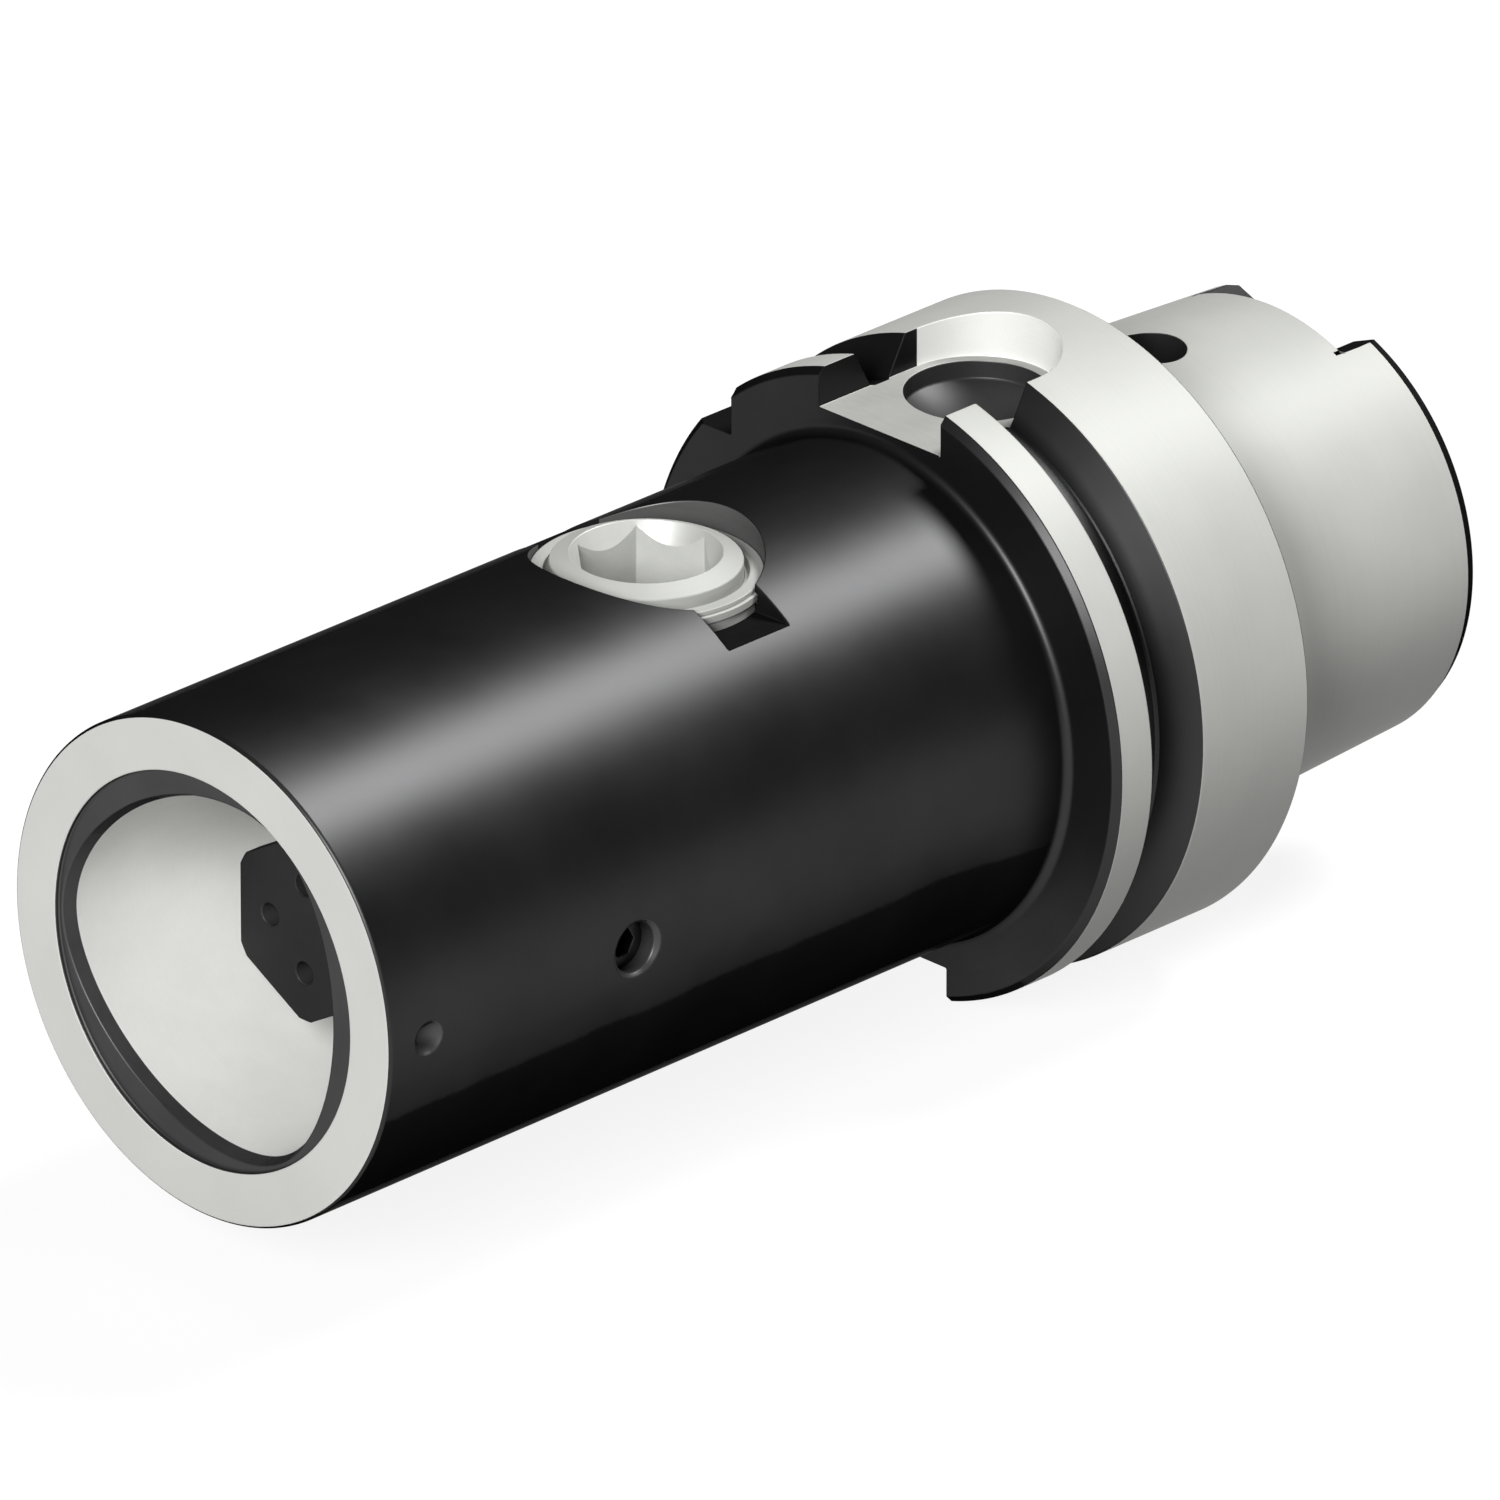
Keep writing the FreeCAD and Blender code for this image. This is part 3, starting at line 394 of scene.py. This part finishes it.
def bodyProfile(look):
    # corners are (x, radius, edge break, steps of the break), once round the section
    r, groove = look["flangeRadius"], look["grooveMiddle"]
    half = look["grooveWidth"] / 2
    root = half - (r - look["grooveRoot"]) * math.tan(math.radians(30))
    nose = look["noseRadius"]
    outside = [
        (frontX, nose, look["noseChamfer"], 1),
        (camX - 16, nose), (camX - 12, nose), (camX + 12, nose), (camX + 16, nose),    # round the pocket
        (look["flangeFront"], nose, look["noseFillet"], 8),
        (look["flangeFront"], r, 0.7, 1),
        (groove - half, r, 0.15), (groove - root, look["grooveRoot"], 0.25),
        (groove + root, look["grooveRoot"], 0.25), (groove + half, r, 0.15),
        (0.0, r, 0.3, 1),
        (0.0, 25.3, 0.1), (-0.8, 25.3, 0.1),
        (-0.8, look["taperStartRadius"], 0.1),
        (6.0, 24.015), (14.6, 23.585), (26.0, 23.015),
        (30.8, 22.775), (shankEnd, 22.3, 0.05, 1),
    ]
    inner = hollowLook
    hollow = [
        (shankEnd, inner["openingRadius"], 0.4, 3), (inner["openingStart"], inner["openingRadius"], 0.3, 3),
        (inner["grippedEnd"], inner["grippedRadius"], 0.4, 3),
        (inner["shankFloor"], inner["grippedRadius"], 0.6, 3),
        (inner["shankFloor"], inner["nutRadius"], 0.15), (inner["nutFloor"], inner["nutRadius"], 0.1),
        (inner["nutFloor"], inner["collarRadius"], 0.1), (inner["collarFloor"], inner["collarRadius"], 0.1),
        (inner["collarFloor"], inner["channelRadius"], 0.1), (inner["barEnd"], inner["channelRadius"], 0.1),
        (inner["barEnd"], inner["barRadius"], 0.2), (inner["lipEnd"], inner["barRadius"], 0.2),
        (inner["lipEnd"], inner["lipRadius"], 0.2), (inner["lipStart"], inner["lipRadius"], 0.2),
        (inner["lipStart"], inner["segmentRadius"], 0.2),
        (inner["socketFloor"], inner["segmentRadius"], 0.3),
    ]
    socket = [
        (inner["socketFloor"], inner["pilotRadius"]),
        (frontX + look["mouthDepth"], inner["pilotRadius"], 0.1),
        (frontX + look["mouthDepth"], look["mouthRadius"], 0.1),
        (frontX, look["mouthRadius"], 0.12),
    ]
    return outside + hollow + socket


def polygonRing(bm, diameter, x, lobe, cap=False):
    # three-lobed curve of constant width, shaped from a circle
    ring = bmesh.ops.create_circle(bm, cap_ends=cap, radius=1.0, segments=240)["verts"]
    for vert in ring:
        angle = math.atan2(vert.co.y, vert.co.x)
        arm = diameter / 2 + lobe * math.cos(3 * angle)
        swing = -3 * lobe * math.sin(3 * angle)
        vert.co = Vector((x, arm * math.cos(angle) - swing * math.sin(angle),
                          arm * math.sin(angle) + swing * math.cos(angle)))
    return [e for e in bm.edges if e.verts[0] in ring and e.verts[1] in ring]


def polygonCutter(look):
    bm = bmesh.new()
    end = look["polygonDiameter"] - look["polygonTaper"] * (look["socketEnd"] - look["leadDepth"])
    stations = [
        (look["polygonDiameter"] + look["leadWidening"] * 1.37, look["mouthDepth"] - 0.5, True),
        (look["polygonDiameter"], look["leadDepth"], False),
        (end, look["socketEnd"], True),
    ]
    rings = [polygonRing(bm, size, frontX + depth, look["polygonLobe"], cap)
             for size, depth, cap in stations]
    for first, second in zip(rings, rings[1:]):
        bmesh.ops.bridge_loops(bm, edges=first + second)
    bmesh.ops.recalc_face_normals(bm, faces=bm.faces[:])
    # the lead-in takes the bore finish and the polygon walls the near-white steel, both painted highlights
    for face in bm.faces:
        inLead = face.calc_center_median().x < frontX + look["leadDepth"] - 0.01
        face.material_index = bore if inLead else bright
    return bm


def slotCutter(width, side, look):
    # straight slot with a round end, from the circle's far half and two drawn-out ends
    bm = bmesh.new()
    middle = look["slotEnd"] - width / 2
    low, high = look["slotFloor"], look["flangeRadius"] + 4
    bmesh.ops.create_circle(bm, cap_ends=False, radius=width / 2, segments=128,
                            matrix=Matrix.Translation((middle, 0, low)))
    bmesh.ops.bisect_plane(bm, geom=bm.verts[:] + bm.edges[:], plane_co=(middle, 0, 0),
                           plane_no=(-1, 0, 0), clear_outer=True)
    ends = [v for v in bm.verts if len(v.link_edges) == 1]
    drawn = bmesh.ops.extrude_vert_indiv(bm, verts=ends)["verts"]
    for vert in drawn:
        vert.co.x = look["flangeFront"] - 6
    bm.edges.new(drawn)
    bmesh.ops.edgenet_fill(bm, edges=bm.edges[:])
    raised = bmesh.ops.extrude_face_region(bm, geom=bm.faces[:])["geom"]
    bmesh.ops.translate(bm, vec=(0, 0, high - low),
                        verts=[g for g in raised if isinstance(g, bmesh.types.BMVert)])
    if side < 0:
        bmesh.ops.rotate(bm, cent=(0, 0, 0), matrix=Matrix.Rotation(math.pi, 3, "X"), verts=bm.verts[:])
    bmesh.ops.recalc_face_normals(bm, faces=bm.faces[:])
    # the round end wall takes the near-white steel, a painted highlight
    for face in bm.faces:
        centre = face.calc_center_median()
        if abs(face.normal.z) > 0.9:
            face.material_index = milled
        elif centre.x > middle - 0.05:
            face.material_index = bright
        else:
            face.material_index = black
    return bm


driveLook = {"depth": 5.2, "halfWidth": 6.27, "bevelStart": 19.4, "bevelWidth": 3.4, "bevelRise": 1.35}


def driveCutter(side, look=driveLook):
    half, wide = look["halfWidth"], look["halfWidth"] + look["bevelWidth"]
    low, high = look["bevelStart"], look["bevelStart"] + look["bevelRise"]
    outline = [(-half, 10), (-half, low), (-wide, high), (-wide, 28),
               (wide, 28), (wide, high), (half, low), (half, 10)]
    bm = bmesh.new()
    verts = [bm.verts.new((shankEnd - look["depth"], y, side * z)) for y, z in outline]
    face = bm.faces.new(verts)
    out = bmesh.ops.extrude_face_region(bm, geom=[face])["geom"]
    bmesh.ops.translate(bm, vec=(look["depth"] + 2.8, 0, 0),
                        verts=[g for g in out if isinstance(g, bmesh.types.BMVert)])
    bmesh.ops.recalc_face_normals(bm, faces=bm.faces[:])
    return bm


def paintBody(bm, look):
    # ground faces stay bright, the rest is blackened
    for face in bm.faces:
        centre = face.calc_center_median()
        radius = math.hypot(centre.y, centre.z)
        x = centre.x
        finish = black
        if -25.35 < x < -21.3 and radius > 31.4:
            finish = lathed
        elif -14.4 < x < -0.25 and radius > 31.0:
            finish = lathed
        elif -0.85 < x < 30.75 and 22.0 < radius < 24.4:
            finish = lathed
        elif -0.01 < x < 0.01 and radius > 25.2:
            finish = ground
        elif x < frontX + 0.05 and radius < look["noseRadius"] - look["noseChamfer"] + 0.01:
            finish = ground
        # the mouth's edge takes the bore finish, a painted highlight
        elif x < frontX + 1 and radius < look["mouthRadius"] + 0.1:
            finish = bore
        elif radius < 18.7 and -81.6 < x < 31.9:
            finish = inside
        face.material_index = finish


bodyMesh = turned(bodyProfile(bodyLook))
paintBody(bodyMesh, bodyLook)
adapterBody = solidObject("adapterBody", bodyMesh, bodyMats)
print("body turned")

up, down, sideways = (0, 0, 1), (0, 0, -1), (0, 1, 0)
cutAway(adapterBody, [
    (polygonCutter(bodyLook), None),
    (roundBar(18.2, frontX + 31.0, frontX + 33.5, alongX, segments=240), inside),
])
print("socket cut")
drillLook = {"middle": -12.9, "radius": 7.0, "shoulder": 24.65, "tip": 20.444}
notchLook = {"start": 19.84, "end": -17.85}     # index notch in the corner of the front band
drillAt = (drillLook["middle"], 0, 0)
cutAway(adapterBody, [
    (slotCutter(bodyLook["topSlotWidth"], 1, bodyLook), None),
    (slotCutter(bodyLook["bottomSlotWidth"], -1, bodyLook), None),
    (roundBar(drillLook["radius"], drillLook["shoulder"], 34.0, up, drillAt, 128), bore),
    (roundBar(0.0, drillLook["tip"], drillLook["shoulder"], up, drillAt, 128,
              endRadius=drillLook["radius"]), bore),
    (blockBetween((-29, notchLook["start"], notchLook["start"]), (notchLook["end"], 40, 40)), black),
])
print("flange cut")
accessLook = {"radius": 3.75, "offset": 10.2}
accessAt = (accessLook["offset"], 0, 0)
cutAway(adapterBody, [
    (driveCutter(1), black),
    (driveCutter(-1), black),
    (roundBar(accessLook["radius"], 0.0, 28.0, up, accessAt, 96), bore),
    (roundBar(accessLook["radius"], 0.0, 28.0, down, accessAt, 96), bore),
])
print("shank cut")
pocketCut = {"radius": 11.05, "floor": 12.4, "crossHalfWidth": 4.0, "crossFloor": 20.0,
             "ringLow": 20.95, "ringHigh": 21.85, "ringRadius": 11.4}
ringGroove = stoodUp(turned([
    (pocketCut["ringLow"], 10), (pocketCut["ringLow"], pocketCut["ringRadius"]),
    (pocketCut["ringHigh"], pocketCut["ringRadius"]), (pocketCut["ringHigh"], 10),
], steps=192), camX)
camAt, screwAt, dimpleAt = (camX, 0, 0), (frontX + 32.1, 0, 0), (frontX + 5.0, 0, 0)
# the cam pocket's wall and ring groove take the pocket finish, a painted highlight; the screw hole and
# dimple take the bore finish, likewise
cutAway(adapterBody, [
    (roundBar(pocketCut["radius"], pocketCut["floor"], 30.0, up, camAt, 192), pocket),
    (blockBetween((camX - pocketCut["crossHalfWidth"], -30, pocketCut["crossFloor"]),
                  (camX + pocketCut["crossHalfWidth"], 30, 30)), black),
    (ringGroove, pocket),
    (roundBar(7.85, -11.1, 12.6, up, camAt, 96), inside),
    (roundBar(4.55, -17.8, -10.0, up, camAt, 96), inside),
    (roundBar(2.5, -25.5, -19.4, sideways, screwAt, 96), bore),
    (roundBar(3.5, -25.5, -23.9, sideways, screwAt, 96, endRadius=1.9), bore),
    (roundBar(2.25, -25.5, -23.25, sideways, dimpleAt, 96, endRadius=0.0), bore),
])
print("nose cut")
finishPiece(adapterBody, "holder", ["adapter_body"])
print("body finished", len(adapterBody.data.polygons))


# clamping cone with the hexagon head

coneMats = [blackSteel, boreHighlightBlack]
coneLook = {"face": 13.2, "headThickness": 2.0, "headFlats": 17.0, "cornerRadius": 9.4,
            "coneRadius": 8.4, "coneStart": 3.3, "coneEnd": 10.44, "stemRadius": 5.8, "stemEnd": 28.1,
            "sprayHoles": 4, "sprayRadius": 1.1, "sprayCircle": 4.55, "sprayLean": 12.0}
faceX = frontX + coneLook["face"]
backX, stemX = faceX + coneLook["headThickness"], faceX + coneLook["stemEnd"]
coneBody = turned([
    (backX, 0), (backX, coneLook["coneRadius"], 0.2),
    (faceX + coneLook["coneStart"], coneLook["coneRadius"], 0.2),
    (faceX + coneLook["coneEnd"], coneLook["stemRadius"], 0.2),
    (stemX, coneLook["stemRadius"], 0.2), (stemX, 0),
], steps=128, closed=False)
clampingCone = solidObject("clampingCone", coneBody, coneMats, 0)
headPrism = hexPrism(coneLook["headFlats"], 0, coneLook["headThickness"] + 0.05, alongX, (faceX, 0, 0))
hexHead = solidObject("hexHead", headPrism, coneMats, 0)
cutAway(hexHead, [(roundBar(coneLook["cornerRadius"], -1, 4, alongX, (faceX, 0, 0), 192), 0)], "INTERSECT")
headMesh = bmesh.new()
headMesh.from_mesh(hexHead.data)
bpy.data.objects.remove(hexHead)
cutAway(clampingCone, [(headMesh, 0)], "UNION")
sprayHoles = []
sprayLean = math.radians(coneLook["sprayLean"])
for k in range(coneLook["sprayHoles"]):
    turn = Matrix.Rotation(math.tau / coneLook["sprayHoles"] * k, 3, "X")
    lean = turn @ Vector((math.cos(sprayLean), -math.sin(sprayLean), 0))
    start = turn @ Vector((faceX, coneLook["sprayCircle"], 0))
    sprayHoles.append((roundBar(coneLook["sprayRadius"], -2, 10, lean, start, 64), 1))
cutAway(clampingCone, sprayHoles)
finishPiece(clampingCone, "draw_bar_group", ["clamping_cone"])
print("cone finished")


# clamping segments

segmentLook = {"count": 6, "spread": 54.0, "steps": 24}


def segmentProfile():
    rows = [
        (18.5, 8.073, 0.2), (18.5, 10.3, 0.5), (21.5, 10.3, 0.4), (21.5, 9.9, 0.1),
        (28.75, 9.9, 0.1), (28.75, 8.46, 0.3), (30.25, 8.46, 0.3), (30.25, 9.9, 0.1),
        (33.8, 9.9, 0.1), (33.8, 11.6, 0.2), (37.0, 11.6, 0.1), (37.0, 13.2, 0.3),
        (39.5, 13.2, 0.3), (39.5, 6.4, 0.2), (23.1, 6.4, 0.2),
    ]
    return [(frontX + row[0], *row[1:]) for row in rows]


for k in range(segmentLook["count"]):
    bm = turned(segmentProfile(), steps=segmentLook["steps"], angle=segmentLook["spread"],
                start=360 / segmentLook["count"] * k - segmentLook["spread"] / 2)
    segment = solidObject("clampingSegment%d" % (k + 1), bm, [hardenedSteel], 0)
    finishPiece(segment, "segment_%d" % (k + 1), ["clamping_segment_%d" % (k + 1)])
print("segments finished")


# cam shaft, its bush and snap ring

shaftLook = {"headRadius": 9.15, "headTop": 24.1, "headRim": 23.28, "socketFlats": 12.0,
             "socketTurn": -7.0, "socketFloor": 15.6, "mouthRadius": 7.2, "mouthSteepness": 1.67,
             "camRadius": 6.0, "throw": 1.25, "flowRadius": 1.9}


def hexCountersink(look):
    # cone that opens the mouth of the hexagon socket
    tip = look["socketFlats"] / 2 - 0.2
    floor = look["headTop"] - (look["mouthRadius"] - tip) * look["mouthSteepness"]
    return roundBar(tip, floor, look["headTop"] + 0.5, up, camAt, 192,
                    endRadius=look["mouthRadius"] + 0.5 / look["mouthSteepness"])


camBody = stoodUp(turned([
    (-17.5, 0), (-17.5, 4.5, 0.3), (-14.8, 4.5, 0.1), (-14.8, 3.41, 0.1), (-13.6, 3.41, 0.1),
    (-13.6, 4.5, 0.1), (10.8, 4.5), (10.8, 7.45, 0.2), (12.55, 7.45, 0.1), (12.55, 10.4, 0.2),
    (14.45, 10.4, 0.2), (14.45, 9.15, 0.1), (16.6, 9.15, 0.1), (16.6, 8.06, 0.1), (17.8, 8.06, 0.1),
    (17.8, 9.15, 0.1), (shaftLook["headRim"], shaftLook["headRadius"], 0.12),
    (shaftLook["headTop"], shaftLook["mouthRadius"] + 0.08), (shaftLook["headTop"], 0),
], steps=192, closed=False), camX)
camShaft = solidObject("camShaft", camBody, [camSteel, camSocketHighlight], 0)
throwAt = (camX - shaftLook["throw"], 0, 0)
cutAway(camShaft, [(roundBar(shaftLook["camRadius"], -10.8, 10.9, up, throwAt, 128), 0)], "UNION")
# the hexagon socket and its countersink take the second finish, a painted highlight
cutAway(camShaft, [
    (hexPrism(shaftLook["socketFlats"], shaftLook["socketFloor"], 25.0, up, camAt,
              shaftLook["socketTurn"]), 1),
    (hexCountersink(shaftLook), 1),
    (roundBar(shaftLook["flowRadius"], -9.0, 7.0, alongX, camAt, 64), 0),
])
finishPiece(camShaft, "cam", ["cam_shaft"], width=0.08)

camBush = solidObject("camBush", stoodUp(turned([
    (14.6, 9.2, 0.15), (14.6, 11.0, 0.2), (16.7, 11.0, 0.05), (16.7, 10.11, 0.05),
    (17.7, 10.11, 0.05), (17.7, 11.0, 0.05), (20.95, 11.0, 0.05), (20.95, 10.4, 0.05),
    (21.85, 10.4, 0.05), (21.85, 11.0, 0.05), (22.3, 11.0, 0.1), (22.3, 9.7, 0.1),
    (21.7, 9.7, 0.1), (21.7, 9.2, 0.1),
], steps=192), camX), [camSteel], 0)
finishPiece(camBush, "holder", ["cam_bush"], width=0)

snapRing = solidObject("snapRing", stoodUp(turned([
    (21.0, 10.45, 0.08), (21.0, 11.3, 0.08), (21.8, 11.3, 0.08), (21.8, 10.45, 0.08),
], steps=192), camX), [camSteel], 0)
cutAway(snapRing, [(blockBetween((camX - 3, 2, 20), (camX + 3, 14, 23)), 0)])
finishPiece(snapRing, "holder", ["snap_ring"], width=0.06)
print("cam finished")


# side screw

screwLook = {"radius": 2.45, "face": -23.0, "end": -19.8, "flats": 2.5, "socketFloor": -21.4}
sideScrew = solidObject("sideScrew", roundBar(screwLook["radius"], screwLook["face"], screwLook["end"],
                                              sideways, screwAt, 96), [blackSteel], 0)
cutAway(sideScrew, [(hexPrism(screwLook["flats"], screwLook["face"] - 1, screwLook["socketFloor"],
                              sideways, screwAt), 0)])
finishPiece(sideScrew, "holder", ["side_screw"], width=0.1)


# union nut and coolant tube in the shank

unionNut = solidObject("unionNut", turned([
    (-2.8, 9.0, 0.3), (6.5, 9.0, 0.4), (6.5, 6.3, 0.3), (2.3, 6.3, 0.05), (2.3, 6.94, 0.05),
    (1.1, 6.94, 0.05), (1.1, 6.3, 0.05), (-2.8, 6.3, 0.2),
], steps=160), [blackSteel], 0)
nutLook = {"slots": 4, "slotStart": 4.5, "slotHalfWidth": 1.5}
nutSlots = []
for k in range(nutLook["slots"]):
    slot = blockBetween((nutLook["slotStart"], 0, -nutLook["slotHalfWidth"]),
                        (8, 12, nutLook["slotHalfWidth"]))
    slotTurn = Matrix.Rotation(math.tau / nutLook["slots"] * (k + 0.5), 3, "X")
    bmesh.ops.rotate(slot, cent=(0, 0, 0), matrix=slotTurn, verts=slot.verts[:])
    nutSlots.append((slot, 0))
cutAway(unionNut, nutSlots)
finishPiece(unionNut, "holder", ["union_nut"], width=0.15)

coolantTube = solidObject("coolantTube", turned([
    (-6.7, 4.0, 0.2), (-6.7, 8.0, 0.2), (-5.55, 8.0, 0.05), (-5.55, 6.96, 0.05),
    (-4.35, 6.96, 0.05), (-4.35, 8.0, 0.05), (-3.2, 8.0, 0.2), (-3.2, 5.8, 0.3),
    (7.1, 5.8, 0.1), (7.3, 6.0, 0.1), (28.6, 6.0, 0.6, 3), (28.6, 4.0, 0.2),
], steps=160), [hardenedSteel], 0)
finishPiece(coolantTube, "coolant_tube_group", ["coolant_tube"], width=0)
print("shank pieces finished")


# carried-over pieces get their finish

nodeFinish = {
    "draw_bar": hardenedSteel, "cam_stop_pin": hardenedSteel,
    "draw_bar_front_seal": sealRubber, "draw_bar_rear_seal": sealRubber,
    "segment_ring": sealRubber, "cam_seal": sealRubber, "cam_journal_seal": sealRubber,
    "bush_seal": sealRubber, "tube_collar_seal": sealRubber, "union_nut_seal": sealRubber,
}
for nodeName, mat in nodeFinish.items():
    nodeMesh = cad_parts[nodeName].data
    nodeMesh.materials.clear()
    nodeMesh.materials.append(mat)


# floor, world and lamps

stageLook = {"floorColour": (0.14, 0.14, 0.14), "floorLift": 0.88, "worldLevel": 0.04}
floorMesh = bmesh.new()
bmesh.ops.create_grid(floorMesh, x_segments=1, y_segments=1, size=3.0,
                      matrix=Matrix.Translation((0, 0, -0.0315)))
floor = solidObject("floor", floorMesh, [])
floorMat, floorTree, floorShader = newMaterial("paleFloor")
floorShader.inputs["Base Color"].default_value = (*stageLook["floorColour"], 1)
floorShader.inputs["Roughness"].default_value = 0.9
floorShader.inputs["Specular IOR Level"].default_value = 0.1
floor.data.materials.append(floorMat)
# camera, glossy and transmission rays see the floor as white, and its shadow stays
rays = addNode(floorTree, "ShaderNodeLightPath")
shown = rays.outputs["Is Camera Ray"]
for rayKind in ("Is Glossy Ray", "Is Transmission Ray"):
    either = addNode(floorTree, "ShaderNodeMath", operation="MAXIMUM")
    link(floorTree, shown, either.inputs[0])
    link(floorTree, rays.outputs[rayKind], either.inputs[1])
    shown = either.outputs[0]
lift = addNode(floorTree, "ShaderNodeMath", operation="MULTIPLY")
lift.inputs[1].default_value = stageLook["floorLift"]
link(floorTree, shown, lift.inputs[0])
floorShader.inputs["Emission Color"].default_value = (1, 1, 1, 1)
link(floorTree, lift.outputs[0], floorShader.inputs["Emission Strength"])

world = bpy.data.worlds.new("studio")
bpy.context.scene.world = world
world.use_nodes = True
backdrop = world.node_tree.nodes["Background"]
backdrop.inputs["Color"].default_value = (1, 1, 1, 1)
backdrop.inputs["Strength"].default_value = stageLook["worldLevel"]

lampLook = {
    "topLamp": {"toward": (0.56, -0.17, 0.8), "distance": 1.6, "size": 0.6, "watts": 27.0},
    "frontLamp": {"toward": (-0.8, -0.38, 0.46), "distance": 1.8, "size": 0.8, "watts": 40.0},
}
for lampName, look in lampLook.items():
    data = bpy.data.lights.new(lampName, "AREA")
    data.shape = "DISK"
    data.size = look["size"]
    data.energy = look["watts"]
    lamp = bpy.data.objects.new(lampName, data)
    bpy.context.scene.collection.objects.link(lamp)
    toward = Vector(look["toward"]).normalized()
    lamp.location = Vector((-0.045, 0, 0)) + toward * look["distance"]
    lamp.rotation_mode = "QUATERNION"
    lamp.rotation_quaternion = toward.to_track_quat("Z", "Y")
print("stage made")


# camera, at the photograph's angle

cameraLook = {
    "place": (-1.72434, -1.68110, 1.10768), "lens": 668.55,
    "azimuth": -45.0, "elevation": 25.0,
}
cameraData = bpy.data.cameras.new("camera")
camera = bpy.data.objects.new("camera", cameraData)
bpy.context.scene.collection.objects.link(camera)
bpy.context.scene.camera = camera
cameraData.sensor_width = 36.0
cameraData.lens = cameraLook["lens"]
cameraData.clip_start = 0.05
cameraData.clip_end = 30.0
camera.location = cameraLook["place"]
azimuth, elevation = math.radians(cameraLook["azimuth"]), math.radians(cameraLook["elevation"])
back = Vector((math.sin(azimuth) * math.cos(elevation), -math.cos(azimuth) * math.cos(elevation),
               math.sin(elevation)))
camera.rotation_mode = "QUATERNION"
camera.rotation_quaternion = (-back).to_track_quat("-Z", "Y")

bpy.context.scene.view_settings.view_transform = "Standard"

print("scene done")
